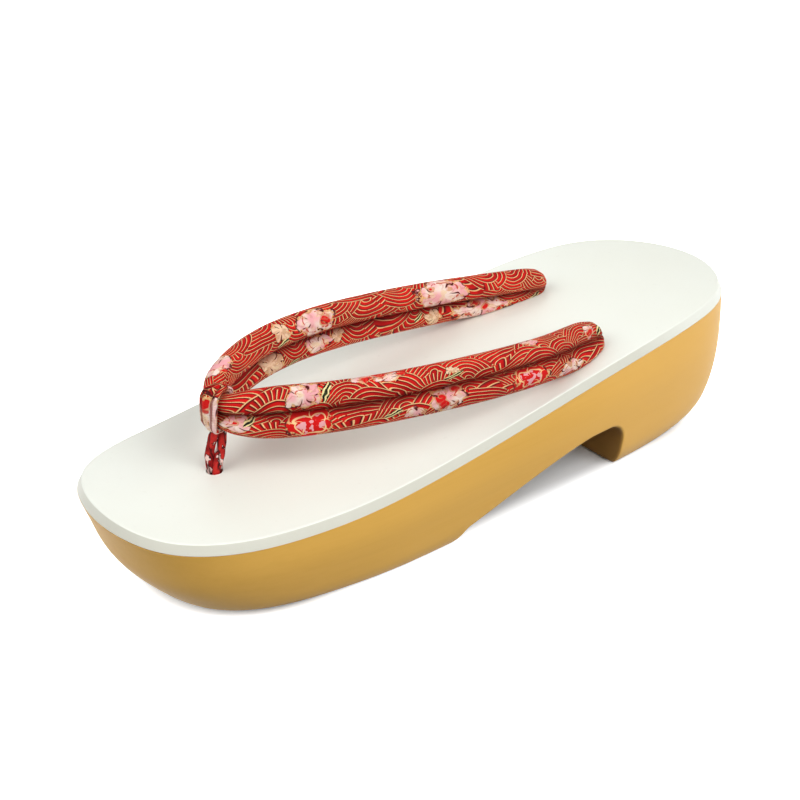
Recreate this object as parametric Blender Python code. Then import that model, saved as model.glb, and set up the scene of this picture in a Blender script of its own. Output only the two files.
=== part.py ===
"""A low okobo-style geta: a carved wooden sole, a white top board and padded hanao straps.

Lengths are in metres. The toe points along -Y, +Z is up and +X is the wearer's left. The sole
stands on z = 0 with its outline centred on the origin. Every height and outline comes from the
driving dimensions and the short tables below, whose lengths are shares of those dimensions.
"""

import bpy
import bmesh
import math
import numpy as np
from mathutils import Vector

# Deck and board
DECK_LENGTH = 0.235
BALL_HALF_WIDTH = 0.0399
BALL_HEIGHT = 0.0292
HEEL_HEIGHT = 0.0455
BOARD_THICKNESS = 0.0030
BOARD_FLARE = 0.0014
BOARD_CREST = 0.0004

# Wooden block
TOE_TUCK = 0.0198
HEEL_TUCK = 0.0133
SIDE_TUCK = 0.0051
SEAT_GAP = 0.0003

# Arch under the block, measured from the toe edge of the deck
ARCH_START = 0.0950
ARCH_LENGTH = 0.0711
ARCH_HEIGHT = 0.0180
ARCH_STEP_RUN = 0.0045
ARCH_STEP_RISE = 0.0052
ARCH_LEVEL_RUN = 0.0145
ARCH_CORNER_RADIUS = 0.0070
ARCH_CURL = 1.3
STEP_FOOT_SHARE = 0.6

# Padded straps
ROLL_RADIUS = 0.0040
STRAP_RISE = 0.0204
STRAP_END_DOME = 0.0050
ROLL_SPACING = 0.92
TIP_RADIUS_SHARE = 0.3

# Cords, their bores and their knots
CORD_RADIUS = 0.0025
BORE_CLEARANCE = 0.00035
KNOT_RADIUS = 0.0044
KNOT_HALF_HEIGHT = 0.0034
FRONT_HOLE_FROM_TOE = 0.0381
FRONT_HOLE_OFFSET = -0.0026
POCKET_RADIUS = 0.0090
POCKET_DEPTH = 0.0110
REAR_KNOT_AHEAD_OF_HEEL = 0.0075
REAR_CORD_DROP_SHARE = 0.5
REAR_CORD_RISE_SHARE = 0.8

# Front thong
THONG_STRAND_RADIUS = 0.0014
THONG_TWIST_DEGREES = 200.0
WRAP_WIDTH = 0.0052
WRAP_THICKNESS = 0.0019
WRAP_CLEARANCE = 0.0004

# Columns: share of the deck length, half-width over that of an ellipse of the ball's width
OUTLINE_FULLNESS = (
    (0.000, 1.930),
    (0.040, 1.640),
    (0.090, 1.420),
    (0.170, 1.232),
    (0.260, 1.127),
    (0.340, 1.055),
    (0.500, 0.982),
    (0.680, 1.016),
    (0.850, 1.203),
    (0.930, 1.345),
    (1.000, 1.425),
)

# Columns: share of the deck length, share of the rise from ball height to heel height
DECK_RISE = (
    (0.000, 0.165),
    (0.128, 0.000),
    (0.255, 0.030),
    (0.383, 0.188),
    (0.500, 0.400),
    (0.640, 0.675),
    (0.766, 0.884),
    (0.894, 1.000),
    (1.000, 0.981),
)

# Columns: share of the block's depth below the board, then shares of the toe, heel and side tuck
BLOCK_LEVELS = (
    (0.00, 0.000, 0.000, 0.000),
    (0.30, 0.147, -0.035, -0.070),
    (0.55, 0.287, -0.038, 0.094),
    (0.80, 0.575, 0.173, 0.308),
    (0.92, 0.780, 0.500, 0.580),
    (1.00, 1.000, 1.000, 1.000),
)
BLOCK_RING_SHARES = (0.0, 0.12, 0.28, 0.45, 0.60, 0.72, 0.82, 0.90, 0.96, 1.0)

# Route of the strap from the near rear hole round the front to the far rear hole
# Columns: share of the deck length from the toe, share of the ball half-width, share of the strap
# rise above the deck, lean of the pair from level in degrees, share of the roll radius
STRAP_ROUTE = (
    (0.702, 0.640, 0.120, 66.0, 0.86),
    (0.672, 0.675, 0.180, 66.0, 0.90),
    (0.577, 0.790, 0.465, 68.0, 0.91),
    (0.475, 0.787, 0.722, 72.0, 0.93),
    (0.374, 0.660, 0.880, 76.0, 0.94),
    (0.272, 0.416, 0.945, 77.0, 0.98),
    (0.217, 0.216, 0.950, 79.0, 0.98),
    (0.193, 0.120, 0.955, 82.0, 0.89),
    (0.178, 0.036, 0.965, 86.0, 0.75),
    (0.173, -0.050, 0.975, 90.0, 0.66),
    (0.177, -0.145, 0.980, 88.0, 0.75),
    (0.191, -0.245, 0.985, 86.0, 0.92),
    (0.219, -0.350, 1.000, 84.0, 1.03),
    (0.268, -0.472, 1.010, 83.0, 1.07),
    (0.378, -0.548, 0.925, 82.0, 1.05),
    (0.493, -0.508, 0.705, 80.0, 1.04),
    (0.613, -0.428, 0.415, 77.0, 1.00),
    (0.725, -0.340, 0.155, 74.0, 0.92),
    (0.754, -0.320, 0.110, 74.0, 0.86),
)

# Counts
OUTLINE_STEPS = 48
STRAP_STEPS = 76
DOME_STEPS = 4
LOBE_POINTS = 9
CORD_SIDES = 16
WRAP_STEPS = 20
ARCH_STEPS = 9
CORNER_STEPS = 6
TWIST_STEPS = 9

# Worked out from the driving dimensions
BLOCK_TOP_DROP = BOARD_THICKNESS + SEAT_GAP
ARCH_END = ARCH_START + ARCH_LENGTH
BORE_RADIUS = CORD_RADIUS + BORE_CLEARANCE
CUTTER_OVERRUN = 0.004


def smooth(table, column, at):
    """Natural cubic curve through one column of a table whose first column is the position."""
    x = np.array([row[0] for row in table])
    y = np.array([row[column] for row in table])
    gap = np.diff(x)
    size = len(x)
    system = np.eye(size)
    right = np.zeros(size)
    for i in range(1, size - 1):
        system[i, i - 1] = gap[i - 1]
        system[i, i] = 2 * (gap[i - 1] + gap[i])
        system[i, i + 1] = gap[i]
        right[i] = 6 * ((y[i + 1] - y[i]) / gap[i] - (y[i] - y[i - 1]) / gap[i - 1])
    bend = np.linalg.solve(system, right)
    at = np.clip(np.asarray(at, dtype=float), x[0], x[-1])
    i = np.clip(np.searchsorted(x, at) - 1, 0, size - 2)
    before = (x[i + 1] - at) / gap[i]
    after = 1 - before
    curve = (before ** 3 - before) * bend[i] + (after ** 3 - after) * bend[i + 1]
    return before * y[i] + after * y[i + 1] + curve * gap[i] ** 2 / 6


# The deepest ring's stand-out behind the board, and the toe edge that centres the whole length
HEEL_BULGE = HEEL_TUCK * max(-float(smooth(BLOCK_LEVELS, 2, share)) for share in BLOCK_RING_SHARES)
TOE_EDGE_Y = -(DECK_LENGTH + HEEL_BULGE) / 2
REAR_KNOT_Y = TOE_EDGE_Y + ARCH_END - REAR_KNOT_AHEAD_OF_HEEL


def deck_height(y):
    """Height of the deck's top face at a world y."""
    share = (np.asarray(y) - TOE_EDGE_Y) / DECK_LENGTH
    return BALL_HEIGHT + (HEEL_HEIGHT - BALL_HEIGHT) * smooth(DECK_RISE, 1, share)


def outline_stations():
    """Shares of the length and half-widths along one side, close together at the round ends."""
    angle = np.linspace(0, math.pi, OUTLINE_STEPS + 1)
    share = (1 - np.cos(angle)) / 2
    half_width = BALL_HALF_WIDTH * np.sin(angle) * smooth(OUTLINE_FULLNESS, 1, share)
    half_width[-1] = 0.0
    return share, half_width


def outline_ring(toe_in, heel_in, side_in, height_of):
    """Closed ring of points inside the deck outline by the given insets (outside when negative).

    Point i and point -i lie across from each other, so a cap can be made of straight strips.
    """
    share, half_width = outline_stations()
    station_y = TOE_EDGE_Y + share * DECK_LENGTH
    y = TOE_EDGE_Y + toe_in + share * (DECK_LENGTH - toe_in - heel_in)
    x = half_width * (BALL_HALF_WIDTH - side_in) / BALL_HALF_WIDTH
    z = height_of(station_y)
    near = [(x[i], y[i], z[i]) for i in range(len(y))]
    far = [(-x[i], y[i], z[i]) for i in range(len(y) - 2, 0, -1)]
    return near + far


def new_object(name, mesh, material):
    """Link an object that holds the mesh and its material."""
    if material is not None:
        mesh.materials.append(material)
    piece = bpy.data.objects.new(name, mesh)
    bpy.context.collection.objects.link(piece)
    return piece


def stack_mesh(name, rings):
    """Closed mesh through a stack of outline rings, capped with strips from side to side."""
    mesh = bmesh.new()
    loops = [[mesh.verts.new(point) for point in ring] for ring in rings]
    count = len(rings[0])
    for lower, upper in zip(loops, loops[1:]):
        for i in range(count):
            j = (i + 1) % count
            mesh.faces.new((lower[i], lower[j], upper[j], upper[i]))
    half = count // 2
    for loop in (loops[0], loops[-1]):
        mesh.faces.new((loop[0], loop[1], loop[-1]))
        for i in range(1, half - 1):
            mesh.faces.new((loop[i], loop[i + 1], loop[-i - 1], loop[-i]))
        mesh.faces.new((loop[half - 1], loop[half], loop[half + 1]))
    return finish_mesh(name, mesh)


def tube_mesh(name, rings, closed=False):
    """Closed mesh through rings along a path, with flat end caps unless the path is a loop."""
    mesh = bmesh.new()
    loops = [[mesh.verts.new(point) for point in ring] for ring in rings]
    count = len(rings[0])
    pairs = list(zip(loops, loops[1:]))
    if closed:
        pairs.append((loops[-1], loops[0]))
    for first, second in pairs:
        for i in range(count):
            j = (i + 1) % count
            mesh.faces.new((first[i], first[j], second[j], second[i]))
    if not closed:
        mesh.faces.new(loops[0])
        mesh.faces.new(loops[-1])
    return finish_mesh(name, mesh)


def finish_mesh(name, mesh):
    """Turn a bmesh into mesh data with its faces pointing out and soft shading."""
    bmesh.ops.recalc_face_normals(mesh, faces=mesh.faces)
    if mesh.calc_volume(signed=True) < 0:
        bmesh.ops.reverse_faces(mesh, faces=mesh.faces)
    data = bpy.data.meshes.new(name)
    mesh.to_mesh(data)
    mesh.free()
    data.shade_smooth()
    data.set_sharp_from_angle(angle=math.radians(35))
    return data


def painted(name, colour, roughness):
    """A plain surface with a colour and a roughness."""
    material = bpy.data.materials.new(name)
    material.use_nodes = True
    shader = material.node_tree.nodes["Principled BSDF"]
    shader.inputs["Base Color"].default_value = (*colour, 1.0)
    shader.inputs["Roughness"].default_value = roughness
    return material


def hide_guide(piece):
    """Mark an object as a cutter or a shape that another object takes in."""
    piece.hide_render = True
    piece.display_type = "WIRE"


def combine(piece, other, operation):
    """Add a Boolean of one object to another and hide the second."""
    step = piece.modifiers.new(other.name, "BOOLEAN")
    step.operation = operation
    step.solver = "EXACT"
    step.object = other
    hide_guide(other)


def rod(name, start, end, radius, overrun=0.0):
    """Round rod between two points, longer at both ends by the overrun."""
    start = Vector(start)
    end = Vector(end)
    along = (end - start).normalized()
    start = start - along * overrun
    end = end + along * overrun
    side = along.cross(Vector((1, 0, 0))).normalized()
    across = along.cross(side)
    rings = []
    for centre in (start, end):
        ring = []
        for i in range(CORD_SIDES):
            angle = 2 * math.pi * i / CORD_SIDES
            offset = side * math.cos(angle) + across * math.sin(angle)
            ring.append(centre + offset * radius)
        rings.append(ring)
    return new_object(name, tube_mesh(name, rings), None)


def knot(name, centre):
    """Round cord knot, a little flatter than a ball."""
    mesh = bmesh.new()
    bmesh.ops.create_icosphere(mesh, subdivisions=2, radius=KNOT_RADIUS)
    squash = Vector((1, 1, KNOT_HALF_HEIGHT / KNOT_RADIUS))
    bmesh.ops.scale(mesh, vec=squash, verts=mesh.verts)
    bmesh.ops.translate(mesh, vec=Vector(centre), verts=mesh.verts)
    return new_object(name, finish_mesh(name, mesh), None)


def cord_paths():
    """Start on the strap and end at the knot of each core cord, by name."""
    route = strap_samples()
    paths = {}
    for side, row in (("near", route[DOME_STEPS + 1]), ("far", route[-DOME_STEPS - 2])):
        centre, inward, pair, radius = row
        x, y = (centre - pair * radius * ROLL_SPACING * REAR_CORD_DROP_SHARE)[:2]
        top = Vector((x, y, float(deck_height(y)) + radius * REAR_CORD_RISE_SHARE))
        knot_top = ARCH_HEIGHT - SEAT_GAP
        bottom = Vector((x, REAR_KNOT_Y, knot_top - KNOT_HALF_HEIGHT))
        paths[side] = (top, bottom)
    front_y = TOE_EDGE_Y + FRONT_HOLE_FROM_TOE
    top = Vector((FRONT_HOLE_OFFSET, front_y, float(deck_height(front_y)) - BOARD_THICKNESS / 2))
    bottom = Vector((FRONT_HOLE_OFFSET, front_y, POCKET_DEPTH - SEAT_GAP - KNOT_HALF_HEIGHT))
    paths["front"] = (top, bottom)
    return paths


def arch_profile():
    """Side-view points of the arch, from the forefoot step to the front of the heel block."""
    level_from = ARCH_END - ARCH_LEVEL_RUN
    ceiling_from = ARCH_START + ARCH_STEP_RUN
    points = [(ARCH_START - ARCH_STEP_RUN * STEP_FOOT_SHARE, -CUTTER_OVERRUN), (ARCH_START, 0.0)]
    for i in range(ARCH_STEPS + 1):
        share = i / ARCH_STEPS
        rise = 1 - (1 - share) ** ARCH_CURL
        y = ceiling_from + (level_from - ceiling_from) * share
        points.append((y, ARCH_STEP_RISE + (ARCH_HEIGHT - ARCH_STEP_RISE) * rise))
    for i in range(CORNER_STEPS + 1):
        angle = math.pi / 2 * (1 - i / CORNER_STEPS)
        y = ARCH_END - ARCH_CORNER_RADIUS * (1 - math.cos(angle))
        points.append((y, ARCH_HEIGHT - ARCH_CORNER_RADIUS * (1 - math.sin(angle))))
    points.append((ARCH_END, -CUTTER_OVERRUN))
    return points


def arch_cutter():
    """Bar across the sole with the arch's side-view shape."""
    reach = BALL_HALF_WIDTH + BOARD_FLARE + CUTTER_OVERRUN
    rings = []
    for x in (-reach, reach):
        rings.append([(x, TOE_EDGE_Y + y, z) for y, z in arch_profile()])
    return new_object("arch_cutter", tube_mesh("arch_cutter", rings), None)


def pocket_cutter():
    """Round recess under the forefoot that keeps the front knot off the ground."""
    y = TOE_EDGE_Y + FRONT_HOLE_FROM_TOE
    low = (FRONT_HOLE_OFFSET, y, -CUTTER_OVERRUN)
    high = (FRONT_HOLE_OFFSET, y, POCKET_DEPTH)
    return rod("pocket_cutter", low, high, POCKET_RADIUS)


def build_sole_block(bores):
    """The wooden block: rounded sides, a low prow, the arch, the knot pocket and the cord bores."""
    rings = []
    for share in BLOCK_RING_SHARES:
        toe, heel, side = (float(smooth(BLOCK_LEVELS, column, share)) for column in (1, 2, 3))
        rings.append(outline_ring(
            toe * TOE_TUCK - BOARD_FLARE,
            heel * HEEL_TUCK - BOARD_FLARE,
            side * SIDE_TUCK - BOARD_FLARE,
            lambda y, keep=1 - share: (deck_height(y) - BLOCK_TOP_DROP) * keep,
        ))
    wood = painted("ochre_painted_wood", (0.68, 0.37, 0.09), 0.42)
    block = new_object("sole_block", stack_mesh("sole_block", rings), wood)
    combine(block, arch_cutter(), "DIFFERENCE")
    combine(block, pocket_cutter(), "DIFFERENCE")
    for bore in bores:
        combine(block, bore, "DIFFERENCE")
    return block


def build_top_board(bores):
    """The white top board: an even thickness, a side that flares out below and an eased crest."""
    rings = []
    for outset, drop in (
        (BOARD_FLARE - BOARD_CREST, BOARD_THICKNESS),
        (BOARD_FLARE, BOARD_THICKNESS - BOARD_CREST),
        (0.0, BOARD_CREST),
        (-BOARD_CREST, 0.0),
    ):
        rings.append(outline_ring(
            -outset, -outset, -outset, lambda y, down=drop: deck_height(y) - down
        ))
    paint = painted("white_board", (0.86, 0.87, 0.80), 0.35)
    board = new_object("top_board", stack_mesh("top_board", rings), paint)
    for bore in bores:
        combine(board, bore, "DIFFERENCE")
    return board


def strap_samples():
    """Centre, inward direction, pair direction and roll radius along the whole strap."""
    rows = np.array(STRAP_ROUTE)
    y = TOE_EDGE_Y + rows[:, 0] * DECK_LENGTH
    x = rows[:, 1] * BALL_HALF_WIDTH
    z = deck_height(y) + rows[:, 2] * STRAP_RISE
    step = np.sqrt(np.diff(x) ** 2 + np.diff(y) ** 2 + np.diff(z) ** 2)
    run = np.concatenate(([0.0], np.cumsum(step)))
    table = list(zip(run, x, y, z, rows[:, 3], rows[:, 4] * ROLL_RADIUS))
    dome = STRAP_END_DOME * np.sin(np.linspace(0, math.pi / 2, DOME_STEPS + 1)[1:-1])
    edge = np.concatenate(([0.0], STRAP_END_DOME - dome[::-1]))
    middle = np.interp(np.linspace(0, len(run) - 1, STRAP_STEPS), np.arange(len(run)), run)
    middle = middle[(middle > STRAP_END_DOME) & (middle < run[-1] - STRAP_END_DOME)]
    at = np.concatenate((edge, middle, (run[-1] - edge)[::-1]))
    centre = np.stack([smooth(table, column, at) for column in (1, 2, 3)], axis=1)
    lean = np.radians(smooth(table, 4, at))
    radius = smooth(table, 5, at)
    from_end = np.clip(np.minimum(at, run[-1] - at) / STRAP_END_DOME, 0.0, 1.0)
    radius = radius * np.sqrt(np.clip(1 - (1 - from_end) ** 2, TIP_RADIUS_SHARE ** 2, 1.0))
    ahead = np.gradient(centre, at, axis=0)
    samples = []
    for i in range(len(at)):
        along = Vector(ahead[i]).normalized()
        inward = along.cross(Vector((0, 0, 1))).normalized()
        upward = inward.cross(along)
        pair = inward * math.cos(lean[i]) + upward * math.sin(lean[i])
        across = along.cross(pair).normalized()
        samples.append((Vector(centre[i]), across, pair, float(radius[i])))
    return samples


def pair_section(centre, across, pair, radius):
    """Outline of two touching rolls with a groove between them, kept above the deck."""
    reach = math.acos(-ROLL_SPACING)
    points = []
    for side in (1, -1):
        for i in range(LOBE_POINTS - 1):
            angle = -reach + 2 * reach * i / (LOBE_POINTS - 1)
            up = side * radius * (ROLL_SPACING + math.cos(angle))
            out = side * radius * math.sin(angle)
            point = centre + pair * up + across * out
            point.z = max(point.z, float(deck_height(point.y)) + SEAT_GAP)
            points.append(point)
    return points


def build_straps(cords):
    """The hanao: one padded pair of rolls from hole to hole, with its core cords and rear knots."""
    rings = [pair_section(*sample) for sample in strap_samples()]
    cloth = painted("red_brocade", (0.62, 0.03, 0.03), 0.7)
    straps = new_object("hanao_straps", tube_mesh("hanao_straps", rings), cloth)
    for side in ("near", "far"):
        top, bottom = cords[side]
        combine(straps, rod(side + "_cord", top, bottom, CORD_RADIUS), "UNION")
        combine(straps, knot(side + "_knot", bottom), "UNION")
    return straps


def twisted_stem(bottom, top):
    """Two strands twisted round each other between two points on one upright line."""
    rings = []
    reach = math.acos(-ROLL_SPACING)
    for step in range(TWIST_STEPS + 1):
        share = step / TWIST_STEPS
        turn = math.radians(THONG_TWIST_DEGREES) * share
        pair = Vector((math.cos(turn), math.sin(turn), 0))
        across = Vector((-math.sin(turn), math.cos(turn), 0))
        centre = bottom.lerp(top, share)
        ring = []
        for side in (1, -1):
            for i in range(LOBE_POINTS - 1):
                angle = -reach + 2 * reach * i / (LOBE_POINTS - 1)
                along_pair = side * (ROLL_SPACING + math.cos(angle))
                sideways = side * math.sin(angle)
                offset = pair * along_pair + across * sideways
                ring.append(centre + offset * THONG_STRAND_RADIUS)
        rings.append(ring)
    return new_object("thong_stem", tube_mesh("thong_stem", rings), None)


def wrap_samples():
    """The strap's samples within half the wrap's width of its foremost one."""
    samples = strap_samples()
    foremost = min(samples, key=lambda sample: sample[0].y)[0]
    return [sample for sample in samples if (sample[0] - foremost).length <= WRAP_WIDTH / 2]


def stadium_point(sample, angle, outset):
    """Point on the stretched circle that encloses a pair of rolls, further out by the outset."""
    centre, across, pair, radius = sample
    out = across * math.cos(angle) + pair * math.sin(angle)
    upper = max(min(math.sin(angle) * 4, 1.0), -1.0)
    return centre + pair * radius * ROLL_SPACING * upper + out * (radius + outset)


def wrap_ring_mesh():
    """Flat band that goes round the strap where its two sides meet."""
    samples = wrap_samples()
    inner = WRAP_CLEARANCE
    outer = WRAP_CLEARANCE + WRAP_THICKNESS
    rings = []
    for step in range(WRAP_STEPS):
        angle = 2 * math.pi * step / WRAP_STEPS
        ring = [stadium_point(sample, angle, inner) for sample in samples]
        ring += [stadium_point(sample, angle, outer) for sample in reversed(samples)]
        rings.append(ring)
    return tube_mesh("front_thong", rings, closed=True)


def build_front_thong(cords):
    """The front thong: a band round the strap's front, a twisted stem, its cord and its knot."""
    cloth = painted("pink_red_brocade", (0.70, 0.10, 0.09), 0.7)
    thong = new_object("front_thong", wrap_ring_mesh(), cloth)
    samples = wrap_samples()
    top, bottom = cords["front"]
    middle = samples[len(samples) // 2]
    stem_top = stadium_point(middle, -math.pi / 2, WRAP_CLEARANCE + WRAP_THICKNESS / 2)
    stem_bottom = top + Vector((0, 0, BOARD_THICKNESS / 2 + SEAT_GAP))
    combine(thong, twisted_stem(stem_bottom, stem_top), "UNION")
    cord_top = top + Vector((0, 0, BOARD_THICKNESS / 2 + THONG_STRAND_RADIUS))
    combine(thong, rod("front_cord", cord_top, bottom, CORD_RADIUS), "UNION")
    combine(thong, knot("front_knot", bottom), "UNION")
    return thong


def bore_cutters(cords, prefix):
    """One round cutter for each cord, wider than the cord by the bore's clearance."""
    cutters = []
    for side, (top, bottom) in cords.items():
        cutters.append(rod(prefix + side + "_bore", top, bottom, BORE_RADIUS, CUTTER_OVERRUN))
    return cutters


def main():
    """Clear the scene and build every sub-part."""
    for piece in list(bpy.data.objects):
        bpy.data.objects.remove(piece, do_unlink=True)
    cords = cord_paths()
    build_sole_block(bore_cutters(cords, "block_"))
    build_top_board(bore_cutters(cords, "board_"))
    build_straps(cords)
    build_front_thong(cords)


main()
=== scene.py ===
"""Looks of one left sandal: a carved ochre sole, a white top board and padded brocade straps.

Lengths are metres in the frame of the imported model: the toe points along -Y, +Z is up and +X is the
wearer's left. Cloth positions in the brocade are millimetres along and round the padded pair.
"""

import logging
import math
from dataclasses import dataclass, field
from enum import Enum
from typing import TypeAlias

import bpy
import numpy as np
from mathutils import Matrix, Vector

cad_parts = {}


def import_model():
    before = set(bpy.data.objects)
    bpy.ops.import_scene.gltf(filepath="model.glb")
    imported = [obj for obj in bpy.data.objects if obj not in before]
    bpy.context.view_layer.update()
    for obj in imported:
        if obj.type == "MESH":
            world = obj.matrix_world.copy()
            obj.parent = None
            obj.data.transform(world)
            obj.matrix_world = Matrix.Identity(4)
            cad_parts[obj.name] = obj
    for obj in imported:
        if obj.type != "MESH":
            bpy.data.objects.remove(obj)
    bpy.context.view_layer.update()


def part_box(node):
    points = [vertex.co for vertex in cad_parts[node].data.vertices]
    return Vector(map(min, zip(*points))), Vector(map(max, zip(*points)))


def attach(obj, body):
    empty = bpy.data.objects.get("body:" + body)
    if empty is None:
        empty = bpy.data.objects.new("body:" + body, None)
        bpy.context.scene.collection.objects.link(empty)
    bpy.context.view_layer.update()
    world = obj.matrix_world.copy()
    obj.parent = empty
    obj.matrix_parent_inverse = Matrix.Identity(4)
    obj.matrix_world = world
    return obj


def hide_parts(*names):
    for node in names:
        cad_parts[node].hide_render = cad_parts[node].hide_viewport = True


log = logging.getLogger("sandal")

Numbers: TypeAlias = np.ndarray
Colour: TypeAlias = tuple[float, float, float]
Table: TypeAlias = tuple[tuple[float, ...], ...]
Piece: TypeAlias = bpy.types.Object
Socket: TypeAlias = bpy.types.NodeSocket
Scalar: TypeAlias = "Value | float"
Feed: TypeAlias = "Value | Socket | float | tuple[float, ...]"

MILLIMETRES = 1000.0  # in a metre
ARC_POINTS = 9  # on each rounded corner
STRAIGHT = 1e-3  # a corner that turns by fewer radians stays as it is
SIDE_HINT = (0.31, 0.94, 0.12)  # a direction that no tube runs along


class Slot(Enum):
    """The record's material slots."""

    WOOD = "ochre_wood"
    BOARD = "white_board"
    STRAP = "red_brocade"
    THONG = "thong_brocade"


def srgb(red: int, green: int, blue: int) -> Colour:
    """Linear colour of a screen colour given from 0 to 255."""
    return tuple(((c / 255 + 0.055) / 1.055) ** 2.4 if c > 10 else c / 3295 for c in (red, green, blue))


# Shapes


class Curve:
    """Natural cubic curve through a short table of positions and values."""

    def __init__(self, table: Table, column: int = 1) -> None:
        """Fit the curve.

        Args:
            table: Rows whose first number is the position.
            column: Which number of a row is the value.
        """
        self.x = np.array([row[0] for row in table])
        self.y = np.array([row[column] for row in table])
        self.gap = np.diff(self.x)
        size = len(self.x)
        system, right = np.eye(size), np.zeros(size)
        for i in range(1, size - 1):
            before, after = self.gap[i - 1], self.gap[i]
            system[i, i - 1 : i + 2] = before, 2 * (before + after), after
            right[i] = 6 * ((self.y[i + 1] - self.y[i]) / after - (self.y[i] - self.y[i - 1]) / before)
        self.bend = np.linalg.solve(system, right)

    def __call__(self, at: Numbers) -> Numbers:
        """Value of the curve, held at its two ends.

        Args:
            at: Positions.

        Returns:
            The value at each position.
        """
        at = np.clip(np.asarray(at, float), self.x[0], self.x[-1])
        i = np.clip(np.searchsorted(self.x, at) - 1, 0, len(self.x) - 2)
        a = (self.x[i + 1] - at) / self.gap[i]
        b = 1 - a
        cubic = (a**3 - a) * self.bend[i] + (b**3 - b) * self.bend[i + 1]
        return a * self.y[i] + b * self.y[i + 1] + cubic * self.gap[i] ** 2 / 6


def rounded_line(corners: list[tuple[float, float, float]], step: float) -> Numbers:
    """Line through corners, each rounded to its radius.

    Args:
        corners: Two coordinates and a rounding radius each.
        step: Longest gap between two points of the result.

    Returns:
        Points of the line, one row each.
    """
    spots = [np.array(c[:2]) for c in corners]
    line = [spots[0]]
    for before, here, after, (_, _, radius) in zip(spots, spots[1:], spots[2:], corners[1:-1]):
        come, go = here - before, after - here
        come, go = come / np.linalg.norm(come), go / np.linalg.norm(go)
        turn = math.atan2(come[0] * go[1] - come[1] * go[0], float(come @ go))
        if radius <= 0 or abs(turn) < STRAIGHT:
            line.append(here)
            continue
        side = math.copysign(1, turn)
        start = here - come * radius * math.tan(abs(turn) / 2)
        centre = start + side * radius * np.array([-come[1], come[0]])
        for share in np.linspace(0, 1, ARC_POINTS):
            angle = math.atan2(*(start - centre)[::-1]) + turn * share
            line.append(centre + radius * np.array([math.cos(angle), math.sin(angle)]))
    line.append(spots[-1])
    dense = [line[0]]
    for a, b in zip(line, line[1:]):
        pieces = max(1, math.ceil(np.linalg.norm(b - a) / step))
        dense += [a + (b - a) * k / pieces for k in range(1, pieces + 1)]
    return np.array(dense)


def ripple(at: Numbers, seed: float) -> Numbers:
    """Smooth wandering value between about -1 and 1."""
    waves = ((1.0, 0.45), (1.93, 0.3), (3.71, 0.25))
    return sum(share * np.sin(at * rate + seed * (rate + 1.7)) for rate, share in waves)


def unit(vectors: Numbers) -> Numbers:
    """Vectors brought to length 1, along the last axis of the array."""
    return vectors / np.linalg.norm(vectors, axis=-1)[..., None]


def running_sum(steps: Numbers) -> Numbers:
    """Distance along a line at the start of each step and at the end of the last."""
    return np.concatenate(([0.0], np.cumsum(steps)))


class MeshDraft:
    """Points, faces and cloth positions of one piece before it becomes an object."""

    def __init__(self, name: str) -> None:
        """Start an empty draft.

        Args:
            name: Name of the object that it becomes.
        """
        self.name = name
        self.points: list[Numbers] = []
        self.faces: list[tuple[int, ...]] = []
        self.cloth: list[tuple[float, float]] = []
        self.count = 0

    def add(self, points: Numbers) -> Numbers:
        """Add a block of points.

        Args:
            points: Coordinates along the last axis.

        Returns:
            The points' numbers in the same layout.
        """
        flat = points.reshape(-1, 3)
        numbers = np.arange(self.count, self.count + len(flat)).reshape(points.shape[:-1])
        self.points.append(flat)
        self.count += len(flat)
        return numbers

    def sheet(self, numbers: Numbers, cloth: Numbers | None = None, round_rows: bool = False,
              round_columns: bool = False) -> None:
        """Join a grid of point numbers with four-sided faces.

        Args:
            numbers: Point numbers in rows and columns.
            cloth: Cloth positions, with one more row or column where the grid closes on itself.
            round_rows: The last row joins the first.
            round_columns: The last column joins the first.
        """
        rows, columns = numbers.shape
        for i in range(rows if round_rows else rows - 1):
            for j in range(columns if round_columns else columns - 1):
                corners = ((i, j), (i, j + 1), (i + 1, j + 1), (i + 1, j))
                self.faces.append(tuple(int(numbers[a % rows, b % columns]) for a, b in corners))
                if cloth is None:
                    self.cloth += [(0.0, 0.0)] * 4
                else:
                    self.cloth += [(float(cloth[a, b, 0]), float(cloth[a, b, 1])) for a, b in corners]

    def lid(self, ring: Numbers, flip: bool = False) -> None:
        """Close a ring with strips from side to side.

        Args:
            ring: Point numbers, where number i lies across from number -i.
            flip: The faces look the other way.
        """
        half = len(ring) // 2
        first, last = (0, 1, -1), (half - 1, half, half + 1)
        strips = [(i, i + 1, -i - 1, -i) for i in range(1, half - 1)]
        for loop in (first, *strips, last):
            self.face(ring[list(loop)], flip)

    def face(self, ring: Numbers, flip: bool = False, cloth: tuple[float, float] = (0.0, 0.0)) -> None:
        """Add one face.

        Args:
            ring: Point numbers in order.
            flip: The face looks the other way.
            cloth: Cloth position of all its corners.
        """
        corners = tuple(int(number) for number in ring)
        self.faces.append(corners[::-1] if flip else corners)
        self.cloth += [cloth] * len(corners)

    def build(self, sharp_degrees: float = 40.0) -> Piece:
        """Turn the draft into an object with soft shading.

        Args:
            sharp_degrees: Edges that turn by more than this stay crisp.

        Returns:
            The new object.
        """
        mesh = bpy.data.meshes.new(self.name)
        mesh.from_pydata(np.concatenate(self.points).tolist(), [], self.faces)
        layer = mesh.uv_layers.new(name="cloth")
        layer.data.foreach_set("uv", np.array(self.cloth, np.float32).ravel())
        mesh.update()
        mesh.shade_smooth()
        mesh.set_sharp_from_angle(angle=math.radians(sharp_degrees))
        piece = bpy.data.objects.new(self.name, mesh)
        bpy.context.scene.collection.objects.link(piece)
        return piece


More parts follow.
